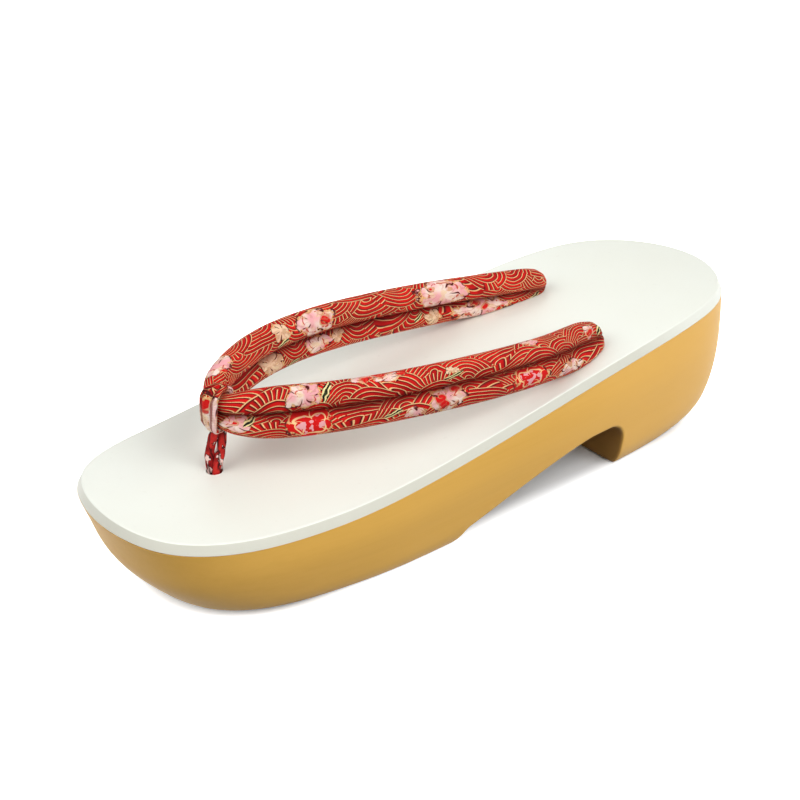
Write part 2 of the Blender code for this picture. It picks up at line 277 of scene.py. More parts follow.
def tube(draft: MeshDraft, line: Numbers, radii: Numbers, sides: int, twist: float = 0.0, lobes: int = 0,
         depth: float = 0.0, loop: bool = False, cloth_start: float = 0.0) -> None:
    """Add a round or rope-like tube along a line.

    Args:
        draft: The draft that takes the tube.
        line: Centre points, one row each.
        radii: Radius at each centre point.
        sides: Points round the tube.
        twist: Turns of the strands per metre.
        lobes: Number of strands that show, or 0.
        depth: How far the valleys between strands go in, as a share of the radius.
        loop: The line closes on itself.
        cloth_start: Where the tube starts along the cloth, in millimetres.
    """
    ahead = np.gradient(line, axis=0)
    if loop:
        ahead = np.roll(line, -1, 0) - np.roll(line, 1, 0)
    ahead = unit(ahead)
    side = np.cross(ahead[0], SIDE_HINT)
    sides_at = []
    for direction in ahead:
        side = side - direction * (side @ direction)
        side /= np.linalg.norm(side)
        sides_at.append(side)
    side = np.array(sides_at)
    over = np.cross(ahead, side)
    run = running_sum(np.linalg.norm(np.diff(line, axis=0), axis=1))
    angle = np.linspace(0, 2 * math.pi, sides, endpoint=False)[None, :]
    radius = np.asarray(radii)[:, None] * np.ones_like(angle)
    if lobes:
        phase = lobes / 2 * (angle - 2 * math.pi * twist * run[:, None])
        radius = radius * (1 - depth + depth * np.abs(np.cos(phase)))
    points = line[:, None] + radius[..., None] * (
        np.cos(angle)[..., None] * side[:, None] + np.sin(angle)[..., None] * over[:, None]
    )
    numbers = draft.add(points)
    around = np.linspace(0, 2 * math.pi * float(np.mean(radii)) * MILLIMETRES, sides + 1)
    along = np.concatenate((run, [run[-1]])) if loop else run
    cloth = np.stack(np.meshgrid(along * MILLIMETRES + cloth_start, around, indexing="ij"), axis=-1)
    draft.sheet(numbers, cloth, round_rows=loop, round_columns=True)
    if not loop:
        draft.face(numbers[0], flip=True, cloth=(cloth_start, 0.0))
        draft.face(numbers[-1], cloth=(run[-1] * MILLIMETRES + cloth_start, 0.0))


def cut(piece: Piece, cutters: list[Piece], sharp_degrees: float) -> None:
    """Take cutters out of a piece and delete them.

    Args:
        piece: The object to be cut.
        cutters: Closed shapes.
        sharp_degrees: Edges that turn by more than this stay crisp.
    """
    for cutter in cutters:
        step = piece.modifiers.new(cutter.name, "BOOLEAN")
        step.operation, step.solver, step.object = "DIFFERENCE", "EXACT", cutter
    graph = bpy.context.evaluated_depsgraph_get()
    mesh = bpy.data.meshes.new_from_object(piece.evaluated_get(graph))
    piece.modifiers.clear()
    piece.data = mesh
    mesh.name = piece.name
    mesh.shade_smooth()
    mesh.set_sharp_from_angle(angle=math.radians(sharp_degrees))
    for cutter in cutters:
        bpy.data.objects.remove(cutter)


def lathe(name: str, start: Vector, end: Vector, profile: Table, sides: int) -> Piece:
    """Closed turned shape between two points.

    Args:
        name: Name of the object.
        start: Where the profile starts.
        end: Point that the axis goes through.
        profile: Distance along the axis and radius, from the start.
        sides: Points round the shape.

    Returns:
        The new object.
    """
    along = np.array((end - start).normalized())
    side = np.cross(along, (1.0, 0.0, 0.0))
    side /= np.linalg.norm(side)
    over = np.cross(along, side)
    angle = np.linspace(0, 2 * math.pi, sides, endpoint=False)
    spokes = np.cos(angle)[:, None] * side + np.sin(angle)[:, None] * over
    rings = np.array([np.array(start) + along * run + spokes * radius for run, radius in profile])
    draft = MeshDraft(name)
    numbers = draft.add(rings)
    draft.sheet(numbers, round_columns=True)
    draft.face(numbers[0], flip=True)
    draft.face(numbers[-1])
    return draft.build()


# Materials


class Value:
    """One number on its way through a material, with Python's own operators."""

    def __init__(self, paint: "NodeSheet", link: Socket) -> None:
        """Wrap an output socket of a material."""
        self.paint = paint
        self.link = link

    def maths(self, operation: str, *others: Scalar) -> "Value":
        """Result of one Math node on this value and the others."""
        return self.paint.maths(operation, self, *others)

    def __add__(self, other: Scalar) -> "Value":
        """Sum."""
        return self.maths("ADD", other)

    def __radd__(self, other: float) -> "Value":
        """Sum with a number in front."""
        return self.maths("ADD", other)

    def __sub__(self, other: Scalar) -> "Value":
        """Difference."""
        return self.maths("SUBTRACT", other)

    def __rsub__(self, other: float) -> "Value":
        """A number less this value."""
        return self.paint.maths("SUBTRACT", other, self)

    def __mul__(self, other: Scalar) -> "Value":
        """Product."""
        return self.maths("MULTIPLY", other)

    def __truediv__(self, other: Scalar) -> "Value":
        """Quotient."""
        return self.maths("DIVIDE", other)

    def __pow__(self, other: float) -> "Value":
        """Power."""
        return self.maths("POWER", other)

    def __abs__(self) -> "Value":
        """Size without sign."""
        return self.maths("ABSOLUTE")

    def fraction(self) -> "Value":
        """Part after the point."""
        return self.maths("FRACT")

    def least(self, other: Scalar) -> "Value":
        """Smaller of two values."""
        return self.maths("MINIMUM", other)

    def most(self, other: Scalar) -> "Value":
        """Larger of two values."""
        return self.maths("MAXIMUM", other)

    def sine(self) -> "Value":
        """Sine of the value in radians."""
        return self.maths("SINE")

    def below(self, edge: Scalar) -> "Value":
        """1 where the value is under the edge, else 0."""
        return self.maths("LESS_THAN", edge)

    def ramp(self, start: float, end: float) -> "Value":
        """Soft step from 0 to 1.

        Args:
            start: Value at which the step starts.
            end: Value at which it ends, which may be the smaller one.

        Returns:
            The height of the step at this value.
        """
        low, high = (start, end) if start < end else (end, start)
        to_low, to_high = (0.0, 1.0) if start < end else (1.0, 0.0)
        node = self.paint.node(
            "ShaderNodeMapRange",
            {"interpolation_type": "SMOOTHSTEP"},
            {"Value": self, "From Min": low, "From Max": high, "To Min": to_low, "To Max": to_high},
        )
        return Value(self.paint, node.outputs["Result"])


class NodeSheet:
    """A node tree while its nodes are being laid out."""

    def __init__(self, tree: bpy.types.NodeTree) -> None:
        """Start from an empty tree."""
        self.tree = tree
        self.tree.nodes.clear()

    def node(self, kind: str, settings: dict[str, object] | None = None,
             feeds: dict[str | int, Feed] | None = None) -> bpy.types.Node:
        """Add one node.

        Args:
            kind: Blender's name of the node type.
            settings: Properties that are set first.
            feeds: Values or links of its sockets, by name or number.

        Returns:
            The new node.
        """
        made = self.tree.nodes.new(kind)
        for name, value in (settings or {}).items():
            setattr(made, name, value)
        for name, value in (feeds or {}).items():
            self.feed(made.inputs[name], value)
        return made

    def feed(self, socket: Socket, value: Feed) -> None:
        """Link or set one input socket.

        Args:
            socket: The input.
            value: What goes in; a colour is given without its fourth number.
        """
        if isinstance(value, Value):
            value = value.link
        if isinstance(value, Socket):
            self.tree.links.new(value, socket)
        elif isinstance(value, tuple) and socket.type == "RGBA":
            socket.default_value = (*value, 1.0)
        else:
            socket.default_value = value

    def maths(self, operation: str, *values: Scalar) -> Value:
        """Result of a Math node."""
        node = self.node("ShaderNodeMath", {"operation": operation}, dict(enumerate(values)))
        return Value(self, node.outputs[0])

    def vector(self, operation: str, *values: Feed) -> Socket:
        """Vector result of a Vector Math node."""
        node = self.node("ShaderNodeVectorMath", {"operation": operation}, dict(enumerate(values)))
        return node.outputs[0]

    def split(self, vector: Socket) -> tuple[Value, Value, Value]:
        """The three numbers of a vector."""
        node = self.node("ShaderNodeSeparateXYZ", None, {0: vector})
        return tuple(Value(self, out) for out in node.outputs)

    def join(self, x: Scalar, y: Scalar) -> Socket:
        """A vector from two numbers and a 0."""
        return self.node("ShaderNodeCombineXYZ", None, {0: x, 1: y}).outputs[0]

    def choose(self, share: Scalar, first: Socket, second: Socket) -> Socket:
        """Vector that goes from the first to the second with the share."""
        node = self.node("ShaderNodeMix", {"data_type": "VECTOR"}, {0: share, 4: first, 5: second})
        return node.outputs[1]

    def blend(self, share: Scalar, first: Feed, second: Feed, kind: str = "MIX") -> Socket:
        """Colour that goes from the first to the second with the share.

        Args:
            share: From 0 to 1.
            first: Colour at share 0.
            second: Colour at share 1, or what the first is multiplied by.
            kind: "MIX" or "MULTIPLY".

        Returns:
            The colour.
        """
        node = self.node(
            "ShaderNodeMix",
            {"data_type": "RGBA", "blend_type": kind, "clamp_factor": True},
            {0: share, 6: first, 7: second},
        )
        return node.outputs[2]

    def noise(self, place: Socket, scale: float, detail: float = 2.0, rough: float = 0.5,
              stretch: tuple[float, float, float] | None = None) -> Value:
        """Cloudy value about 0.5.

        Args:
            place: Where the surface is.
            scale: Clouds per unit of the place.
            detail: Octaves.
            rough: Weight of the finer octaves.
            stretch: Factors on the three directions of the place.

        Returns:
            The cloudiness.
        """
        if stretch:
            place = self.vector("MULTIPLY", place, stretch)
        feeds = {"Vector": place, "Scale": scale, "Detail": detail, "Roughness": rough}
        return Value(self, self.node("ShaderNodeTexNoise", None, feeds).outputs[0])

    def bump(self, height: Value, distance: float, strength: float = 1.0,
             under: Socket | None = None) -> Socket:
        """Normal of a surface raised by a height.

        Args:
            height: From 0 to 1.
            distance: Rise of height 1, in metres.
            strength: Share of the effect.
            under: Normal that the bump is added to.

        Returns:
            The new normal.
        """
        feeds = {"Height": height, "Distance": distance, "Strength": strength}
        if under is not None:
            feeds["Normal"] = under
        return self.node("ShaderNodeBump", None, feeds).outputs[0]


class Paint(NodeSheet):
    """A material while its nodes are being laid out."""

    def __init__(self, name: str) -> None:
        """Start a material with only its output node.

        Args:
            name: Name of the material.
        """
        self.material = bpy.data.materials.new(name)
        self.material.use_nodes = True
        super().__init__(self.material.node_tree)
        self.output = self.node("ShaderNodeOutputMaterial")
        self.places = self.node("ShaderNodeTexCoord").outputs["Object"]

    def cloth(self) -> Socket:
        """Position on the cloth, in millimetres."""
        return self.node("ShaderNodeUVMap", {"uv_map": "cloth"}).outputs[0]

    def facing(self) -> tuple[Value, Value, Value]:
        """The three numbers of the surface's normal."""
        return self.split(self.node("ShaderNodeNewGeometry").outputs["Normal"])

    def finish(self, **feeds: Feed) -> bpy.types.Material:
        """Close the material with a Principled surface.

        Args:
            feeds: What its sockets take, by their names with _ for spaces.

        Returns:
            The material.
        """
        named = {name.replace("_", " "): value for name, value in feeds.items()}
        shader = self.node("ShaderNodeBsdfPrincipled", None, named)
        self.tree.links.new(shader.outputs[0], self.output.inputs[0])
        return self.material


@dataclass(frozen=True)
class OchreWood:
    """Matt ochre paint over close-grained wood."""

    colour: Colour = srgb(234, 182, 87)
    deep: Colour = srgb(220, 166, 71)
    clouded: Colour = srgb(234, 186, 96)
    # Painted highlight: lighter ochre toward the heel end, where the light falls.
    heel: Colour = srgb(255, 200, 106)
    # Painted shade: darker colour for the heel's front face inside the arch, where shade falls.
    breast_shade: Colour = srgb(170, 152, 150)
    grain_scale: float = 60.0
    fine_scale: float = 420.0
    cloud_scale: float = 22.0
    peel_scale: float = 900.0
    grain_share: float = 0.35
    cloud_share: float = 0.14
    heel_highlight_share: float = 0.55
    breast_shade_share: float = 0.8
    heel_highlight_from: float = 0.0
    heel_highlight_full: float = 0.06
    roughness: float = 0.40
    relief: float = 0.00012

    def make(self) -> bpy.types.Material:
        """Build the material: grain and clouds, a painted highlight toward the heel and painted shade on the
        heel's front face under the arch.

        Returns:
            The material.
        """
        paint = Paint("ochre_painted_wood")
        grain = paint.noise(paint.places, self.grain_scale, 5.0, 0.6, (2.2, 0.10, 2.2))
        fine = paint.noise(paint.places, self.fine_scale, 3.0, 0.6, (1.6, 0.05, 1.6))
        cloud = paint.noise(paint.places, self.cloud_scale, 3.0)
        peel = paint.noise(paint.places, self.peel_scale, 2.0)
        _, toward_heel, _ = paint.split(paint.places)
        _, facing_heel, _ = paint.facing()
        streak = grain.ramp(0.38, 0.66) * 0.6 + fine.ramp(0.4, 0.7) * 0.4
        # Painted highlight: the wood lightens toward the heel end as if lit from that side.
        heel = toward_heel.ramp(self.heel_highlight_from, self.heel_highlight_full)
        # Painted shade: faces turned toward the toe in the heel part, inside the arch, grow darker.
        breast_shade = facing_heel.ramp(-0.30, -0.80) * toward_heel.ramp(0.020, 0.030)
        colour = paint.blend(streak * self.grain_share, self.colour, self.deep)
        colour = paint.blend(cloud.ramp(0.35, 0.7) * self.cloud_share, colour, self.clouded)
        colour = paint.blend(heel * self.heel_highlight_share, colour, self.heel)
        colour = paint.blend(breast_shade * self.breast_shade_share, colour, self.breast_shade, "MULTIPLY")
        return paint.finish(
            Base_Color=colour,
            Roughness=self.roughness + cloud * 0.08 + fine * 0.05,
            Specular_IOR_Level=0.18,
            Normal=paint.bump(grain * 0.5 + fine * 0.3 + peel * 0.2, self.relief, 0.6),
        )


@dataclass(frozen=True)
class IvoryBoard:
    """Satin white lacquer with a faint trace of brush and handling."""

    colour: Colour = srgb(240, 243, 234)
    warm: Colour = srgb(235, 236, 223)
    speck: Colour = srgb(205, 202, 188)
    # Painted shade: greyer colour for the board's side band.
    side_shade: Colour = srgb(232, 229, 224)
    cloud_scale: float = 16.0
    brush_scale: float = 210.0
    peel_scale: float = 1100.0
    speck_scale: float = 650.0
    warm_share: float = 0.5
    speck_share: float = 0.10
    side_shade_until: float = 0.045
    side_shade_gone: float = 0.085
    roughness: float = 0.30
    relief: float = 0.00006

    def make(self) -> bpy.types.Material:
        """Build the material: warm clouds, fine specks and painted shade on the side band that fades toward
        the heel.

        Returns:
            The material.
        """
        paint = Paint("ivory_lacquer")
        cloud = paint.noise(paint.places, self.cloud_scale, 4.0)
        brush = paint.noise(paint.places, self.brush_scale, 3.0, 0.6, (1.5, 0.08, 1.5))
        peel = paint.noise(paint.places, self.peel_scale, 2.0)
        specks = paint.noise(paint.places, self.speck_scale, 1.0).ramp(0.70, 0.78)
        _, toward_heel, _ = paint.split(paint.places)
        _, _, rising = paint.facing()
        # Painted shade: faces that don't look up grow greyer, less so toward the heel.
        side = rising.ramp(0.80, 0.55) * toward_heel.ramp(self.side_shade_gone, self.side_shade_until)
        colour = paint.blend(cloud.ramp(0.35, 0.75) * self.warm_share, self.colour, self.warm)
        colour = paint.blend(specks * self.speck_share, colour, self.speck)
        colour = paint.blend(side, colour, self.side_shade, "MULTIPLY")
        return paint.finish(
            Base_Color=colour,
            Roughness=self.roughness + cloud * 0.10 + brush * 0.08,
            Specular_IOR_Level=0.45,
            Normal=paint.bump(brush * 0.55 + peel * 0.45, self.relief, 0.5),
        )


class Bloom(Enum):
    """Colouring of a printed blossom."""

    PINK = 0
    CREAM = 1
    RED = 2


@dataclass(frozen=True)
class Motif:
    """One printed blossom or leaf: its middle and half sizes on the cloth, in millimetres."""

    along: float
    around: float
    half_length: float
    half_width: float
    bloom: Bloom = Bloom.PINK

    def spot(self, code_step: float) -> tuple[float, ...]:
        """The motif's numbers, with its colouring as a multiple of the step."""
        return self.along, self.around, self.half_length, self.half_width, self.bloom.value * code_step


@dataclass(frozen=True)
class Brocade:
    """Red cloth with gold wave lines, blossoms and small leaves."""

    name: str = "red_wave_brocade"
    wave_radius: float = 8.6
    wave_stretch: float = 1.4
    rings: int = 7
    ribs: int = 22
    seam_every: float = 21.9
    seam_width: float = 3.6
    flowers: tuple[Motif, ...] = ()
    leaves: tuple[Motif, ...] = ()
    red: Colour = srgb(184, 6, 8)
    bright_red: Colour = srgb(218, 16, 14)
    maroon: Colour = srgb(62, 0, 4)
    ink: Colour = srgb(84, 12, 16)
    gold: Colour = srgb(250, 210, 152)
    old_gold: Colour = srgb(206, 134, 72)
    petal_white: Colour = srgb(244, 220, 208)
    petal_pink: Colour = srgb(238, 170, 174)
    petal_cream: Colour = srgb(236, 206, 162)
    petal_tan: Colour = srgb(206, 160, 122)
    petal_red: Colour = srgb(200, 30, 30)
    streak: Colour = srgb(196, 120, 96)
    leaf_black: Colour = srgb(12, 14, 12)
    leaf_green: Colour = srgb(48, 54, 28)
    leaf_slash: Colour = srgb(240, 222, 158)
    weave_shade: Colour = srgb(92, 30, 30)
    seam_shade: Colour = srgb(136, 58, 52)
    bloom_code: float = 0.1
    drift_across: float = 0.7
    warp_pitch: float = 0.36
    weft_pitch: float = 0.30
    roughness: float = 0.62
    relief: float = 0.00022

    def fans(self, paint: NodeSheet, along: Value, around: Value) -> tuple[Value, Value]:
        """Place within the wave fan that lies on top.

        Args:
            paint: The material.
            along: Position along the cloth, less the fans' stretch.
            around: Position round the pair.

        Returns:
            Share of the fan's radius, and direction from its centre in radians.
        """
        size, row_step, width = self.wave_radius, self.wave_radius / 2, 2 * self.wave_radius
        first = (around / row_step - 2.0).maths("CEIL")
        shown = None
        for step in (2, 1, 0):
            row = first + step
            across = along - (row / 2).fraction() * width
            across = across - (across / width).maths("ROUND") * width
            up = around - row * row_step
            offset = paint.join(across / size, up / size)
            if shown is None:
                shown = offset
                continue
            inside = (across * across + up * up).below(size * size)
            shown = paint.choose(inside, shown, offset)
        across, up, _ = paint.split(shown)
        return (across * across + up * up) ** 0.5, up.maths("ARCTAN2", across)

    def nearest(self, paint: NodeSheet, place: Socket,
                motifs: tuple[Motif, ...]) -> tuple[Value, Value, Value]:
        """Offset from the nearest of several motifs, in shares of its size.

        Args:
            paint: The material.
            place: Cloth position.
            motifs: The blossoms or the leaves.

        Returns:
            The scaled offset along and around, and the code of the colouring.
        """
        best = best_length = None
        for motif in motifs:
            along, around, half_length, half_width, code = motif.spot(self.bloom_code)
            offset = paint.vector("SUBTRACT", place, (along, around, -code))
            offset = paint.vector("MULTIPLY", offset, (1 / half_length, 1 / half_width, 1.0))
            measure = paint.node("ShaderNodeVectorMath", {"operation": "LENGTH"}, {0: offset})
            length = Value(paint, measure.outputs["Value"])
            if best is None:
                best, best_length = offset, length
                continue
            closer = length.below(best_length)
            best, best_length = paint.choose(closer, best, offset), length.least(best_length)
        return paint.split(best)

    def drift(self, paint: NodeSheet, place: Socket, scale: float, reach: float) -> Socket:
        """Move a place about by smooth noise.

        Args:
            paint: The material.
            place: Cloth position.
            scale: Clouds per millimetre.
            reach: Furthest move along the cloth, in millimetres.

        Returns:
            The moved place.
        """
        feeds = {"Vector": place, "Scale": scale, "Detail": 0.0}
        cloud = paint.node("ShaderNodeTexNoise", None, feeds).outputs[1]
        over = self.drift_across * reach
        move = paint.vector("MULTIPLY_ADD", cloud, (2 * reach, 2 * over, 0.0), (-reach, -over, 0.0))
        return paint.vector("ADD", place, move)

    def ground(self, paint: NodeSheet, cloth: Socket, thread: Value) -> tuple[Socket, Value]:
        """Red ground with the gold wave lines.

        Args:
            paint: The material.
            cloth: Cloth position.
            thread: Unevenness of the thread.

        Returns:
            The colour and where the gold lies.
        """
        # The print wavers slowly over the cloth, and each line a little by itself.
        bent = self.drift(paint, cloth, 0.045, 10.0)
        bent = self.drift(paint, bent, 0.4, 0.2)
        along, around, _ = paint.split(bent)
        away, turn = self.fans(paint, along / self.wave_stretch, around)
        arcs = (away * self.rings).fraction()
        arc_line = arcs.ramp(0.780, 0.83) * arcs.ramp(1.0, 0.97)
        arc_shade = arcs.ramp(0.46, 0.72)
        ribs = (turn * (self.ribs / math.pi)).fraction()
        rib_line = ribs.ramp(0.74, 0.80) * ribs.ramp(1.0, 0.96)
        comb = paint.noise(cloth, 0.07, 0.0).ramp(0.52, 0.53) * away.ramp(0.715, 0.725)
        gold_line = arc_line + (rib_line - arc_line) * comb
        shade = (arc_shade + (ribs.ramp(0.40, 0.64) - arc_shade) * comb) * (1 - gold_line)
        gold_line = gold_line * paint.noise(cloth, 0.6, 2.0).ramp(0.26, 0.34)
        red = paint.blend(paint.noise(cloth, 0.16, 2.0).ramp(0.38, 0.62), self.red, self.bright_red)
        red = paint.blend(shade * 0.92, red, self.maroon)
        gold = paint.blend(thread.ramp(0.42, 0.70), self.gold, self.old_gold)
        return paint.blend(gold_line, red, gold), gold_line

    def blossoms(self, paint: NodeSheet, cloth: Socket, under: Socket,
                 thread: Value) -> tuple[Socket, Value]:
        """Blossoms over the ground.

        Args:
            paint: The material.
            cloth: Cloth position.
            under: Colour of the ground.
            thread: Unevenness of the thread.

        Returns:
            The colour and where the blossoms lie.
        """
        x, y, code = self.nearest(paint, self.drift(paint, cloth, 0.24, 2.1), self.flowers)
        is_cream = code.ramp(0.04, 0.06) * code.ramp(0.16, 0.14)
        is_red = code.ramp(0.14, 0.16)
        fray = paint.noise(cloth, 0.5, 2.0)
        soft = paint.noise(cloth, 0.20, 1.0)
        away = (x * x + y * y) ** 0.5
        turn = y.maths("ARCTAN2", x)
        lobes = abs((turn * 2.5 + soft * 5.0).sine())
        edge = away + (fray - 0.5) * 0.75 - lobes * 0.20
        gap = lobes.ramp(0.34, 0.14) * away.ramp(0.24, 0.42) * (1 - is_red) * fray.ramp(0.60, 0.50)
        inside = edge.ramp(0.88, 0.82) * (1 - gap)
        rim = edge.ramp(1.00, 0.95) * (1 - inside)
        # Pink, white and cream petals, then the cream and the red kind.
        petal = paint.blend(soft.ramp(0.40, 0.60), self.petal_pink, self.petal_white)
        petal = paint.blend(fray.ramp(0.52, 0.62) * 0.7, petal, self.petal_cream)
        beige = paint.blend(fray.ramp(0.48, 0.60), self.petal_cream, self.petal_tan)
        petal = paint.blend(is_cream * 0.8, petal, beige)
        petal = paint.blend(is_red, petal, self.bright_red)
        # Red drops with a gold edge in the pink kind.
        patches = paint.vector("MULTIPLY", self.drift(paint, cloth, 0.4, 1.2), (0.8, 1.1, 1.0))
        cells = paint.node("ShaderNodeTexVoronoi", None, {"Vector": patches, "Scale": 0.24})
        drop = Value(paint, cells.outputs["Distance"])
        pick = paint.split(cells.outputs["Color"])[0]
        light_kind = 1 - is_red.most(is_cream)
        chosen = pick.ramp(0.36, 0.40)
        drop_line = drop.ramp(0.43, 0.40) * drop.ramp(0.30, 0.34) * chosen
        drop_fill = drop.ramp(0.34, 0.30) * chosen
        petal = paint.blend(drop_line * light_kind * 0.7, petal, self.old_gold)
        petal = paint.blend(drop_fill * light_kind, petal, self.bright_red)
        # A broken red ring in the pink kind; gold ring and veins and a pink heart in the red kind.
        inner = abs((turn * 2.0 + soft * 4.0 + 1.2).sine())
        ring = abs(away - 0.54 - inner * 0.18).ramp(0.07, 0.03)
        petal = paint.blend(ring * light_kind * fray.ramp(0.50, 0.54) * 0.9, petal, self.petal_red)
        veins = lobes.ramp(0.16, 0.06) * away.ramp(0.30, 0.45)
        petal = paint.blend(ring.most(veins) * is_red, petal, self.gold)
        petal = paint.blend(edge.ramp(0.60, 0.50) * fray.ramp(0.51, 0.55) * is_red, petal, self.petal_pink)
        # Fine streaks from the middle outwards, and an outline that is gold or ink.
        streaks = (turn * 9.0 + fray * 8.0).sine().ramp(0.55, 0.85) * away.ramp(0.15, 0.35) * (1 - is_red)
        petal = paint.blend(streaks * 0.35, petal, self.streak)
        gold = paint.blend(thread.ramp(0.4, 0.6), self.gold, self.old_gold)
        outline = paint.blend(fray.ramp(0.46, 0.52), self.ink, gold)
        return paint.blend(inside, paint.blend(rim, under, outline), petal), inside

    def foliage(self, paint: NodeSheet, cloth: Socket, under: Socket) -> tuple[Socket, Value]:
        """Dark leaves with pale slashes over the rest.

        Args:
            paint: The material.
            cloth: Cloth position.
            under: Colour of the rest.

        Returns:
            The colour and where the leaves lie.
        """
        x, y, _ = self.nearest(paint, self.drift(paint, cloth, 0.5, 0.6), self.leaves)
        fray = paint.noise(cloth, 0.9, 2.0)
        lean = x + y * 0.75
        away = (lean * lean * 1.5 + y * y) ** 0.5
        body = (away + fray * 0.8 - 0.4).ramp(0.98, 0.88)
        slash = (lean * 1.1 + y * 0.6 + fray * 0.5).fraction().ramp(0.55, 0.62)
        green = paint.blend(fray.ramp(0.4, 0.6), self.leaf_black, self.leaf_green)
        green = paint.blend(slash, green, self.leaf_slash)
        return paint.blend(body, under, green), body

    def make(self) -> bpy.types.Material:
        """Build the material: ground, blossoms, leaves, then the weave and the shade of the seams.

        Returns:
            The material.
        """
        paint = Paint(self.name)
        cloth = paint.cloth()
        thread = paint.noise(cloth, 3.2, 2.0, 0.6, (1.0, 3.0, 1.0))
        colour, gold_line = self.ground(paint, cloth, thread)
        printed = 0.0
        if self.flowers:
            colour, printed = self.blossoms(paint, cloth, colour, thread)
            gold_line = gold_line * (1 - printed)
        if self.leaves:
            colour, body = self.foliage(paint, cloth, colour)
            gold_line = gold_line * (1 - body)
        warp, weft, _ = paint.split(cloth)
        warp_wave = (warp * (2 * math.pi / self.warp_pitch)).sine()
        weft_wave = (weft * (2 * math.pi / self.weft_pitch)).sine()
        threads = warp_wave * 0.25 + weft_wave * 0.25 + 0.5
        colour = paint.blend(threads.ramp(0.35, 0.05) * 0.25, colour, self.weave_shade, "MULTIPLY")
        seam = (weft / self.seam_every + 0.5).fraction() - 0.5
        seam = (abs(seam) * self.seam_every + (thread - 0.5) * 0.6).ramp(self.seam_width, 0.2)
        colour = paint.blend(seam * 0.8, colour, self.seam_shade, "MULTIPLY")
        relief = threads * 0.30 + gold_line * 0.45 + printed * 0.25 + thread * 0.15
        return paint.finish(
            Base_Color=colour,
            Roughness=self.roughness - gold_line * 0.20 + thread * 0.12,
            Metallic=gold_line * 0.15,
            Specular_IOR_Level=0.14,
            Sheen_Weight=0.03,
            Sheen_Roughness=0.4,
            Sheen_Tint=(1.0, 0.3, 0.25),
            Normal=paint.bump(relief, self.relief, 0.7),
        )


@dataclass(frozen=True)
class FoldedCrepe:
    """Deep red crepe with pale flecks, folded lengthwise into a thin strand."""

    red: Colour = srgb(122, 6, 12)
    bright_red: Colour = srgb(198, 44, 38)
    fleck: Colour = srgb(240, 204, 196)
    # Dark red for the crinkles, the rims of the flecks and the painted shade in the fold valleys.
    ink: Colour = srgb(52, 8, 12)
    fold: float = 3.3
    roughness: float = 0.66
    relief: float = 0.00035

    def make(self) -> bpy.types.Material:
        """Build the material.

        Returns:
            The material.
        """
        paint = Paint("folded_red_crepe")
        cloth = paint.cloth()
        along, around, _ = paint.split(cloth)
        cloud = paint.noise(cloth, 0.33, 2.0, 0.5, (0.6, 1.0, 1.0))
        fold = ((around + along * 0.35) / self.fold + cloud * 1.1).fraction()
        valley = (abs(fold - 0.5) * 2.0).ramp(0.60, 0.98)
        flecks = paint.noise(cloth, 0.42, 2.0, 0.55, (0.7, 1.0, 1.0))
        crinkle = paint.noise(cloth, 2.6, 3.0, 0.6)
        colour = paint.blend(cloud.ramp(0.38, 0.62), self.red, self.bright_red)
        colour = paint.blend(crinkle.ramp(0.55, 0.70) * 0.35, colour, self.ink)
        colour = paint.blend(flecks.ramp(0.53, 0.56), colour, self.ink)
        colour = paint.blend(flecks.ramp(0.57, 0.60), colour, self.fleck)
        # Painted shade: the valleys between the folds turn dark red.
        colour = paint.blend(valley * 0.85, colour, self.ink)
        return paint.finish(
            Base_Color=colour,
            Roughness=self.roughness + crinkle * 0.12,
            Specular_IOR_Level=0.14,
            Sheen_Weight=0.03,
            Sheen_Tint=(1.0, 0.3, 0.25),
            Normal=paint.bump((1 - valley) * 0.7 + crinkle * 0.3, self.relief, 0.8),
        )


@dataclass(frozen=True)
class CottonCord:
    """Off-white twisted cotton."""

    # colour is painted shade for the ply's valleys; valley is the lighter colour of the cotton itself.
    colour: Colour = srgb(178, 164, 138)
    valley: Colour = srgb(232, 224, 204)
    fluff: Colour = srgb(246, 241, 228)
    roughness: float = 0.82
    relief: float = 0.00025

    def make(self) -> bpy.types.Material:
        """Build the material.

        Returns:
            The material.
        """
        paint = Paint("cotton_cord")
        cloth = paint.cloth()
        along, around, _ = paint.split(cloth)
        ply = (along * 3.4 + around * 2.6).sine() * 0.5 + 0.5
        fluff = paint.noise(cloth, 4.0, 3.0, 0.6)
        # Painted shade: where the ply dips, the lighter cotton gives way to the darker colour.
        colour = paint.blend(ply.ramp(0.35, 0.0), self.valley, self.colour)
        colour = paint.blend(fluff.ramp(0.45, 0.75) * 0.4, colour, self.fluff)
        return paint.finish(
            Base_Color=colour,
            Roughness=self.roughness + fluff * 0.1,
            Sheen_Weight=0.3,
            Normal=paint.bump(ply * 0.7 + fluff * 0.3, self.relief, 0.8),
        )


@dataclass(frozen=True)
class GlowingFloor:
    """White floor with a painted glow: dim under the sandal's footprint, bright from its outline outwards."""

    colour: Colour = srgb(250, 250, 250)
    clouded: Colour = srgb(248, 248, 247)
    middle: float = 0.0005
    half_length: float = 0.0705
    dark_to: float = 0.029
    bright_from: float = 0.040

    def make(self) -> bpy.types.Material:
        """Build the material: the glow grows with the distance from the sole's middle line.

        Returns:
            The material.
        """
        paint = Paint("studio_floor")
        colour = paint.blend(paint.noise(paint.places, 3.0, 2.0), self.colour, self.clouded)
        x, y, _ = paint.split(paint.places)
        beyond = (abs(y - self.middle) - self.half_length).most(0.0)
        away = (x * x + beyond * beyond) ** 0.5
        # Painted light: the floor glows from the sandal's outline outwards, which whitens any shadow there.
        glow = away.ramp(self.dark_to, self.bright_from)
        return paint.finish(
            Base_Color=colour,
            Roughness=0.9,
            Specular_IOR_Level=0.1,
            Emission_Color=paint.blend(glow, (0.0, 0.0, 0.0), (1.0, 1.0, 1.0)),
            Emission_Strength=1.0,
        )


# The sandal's pieces


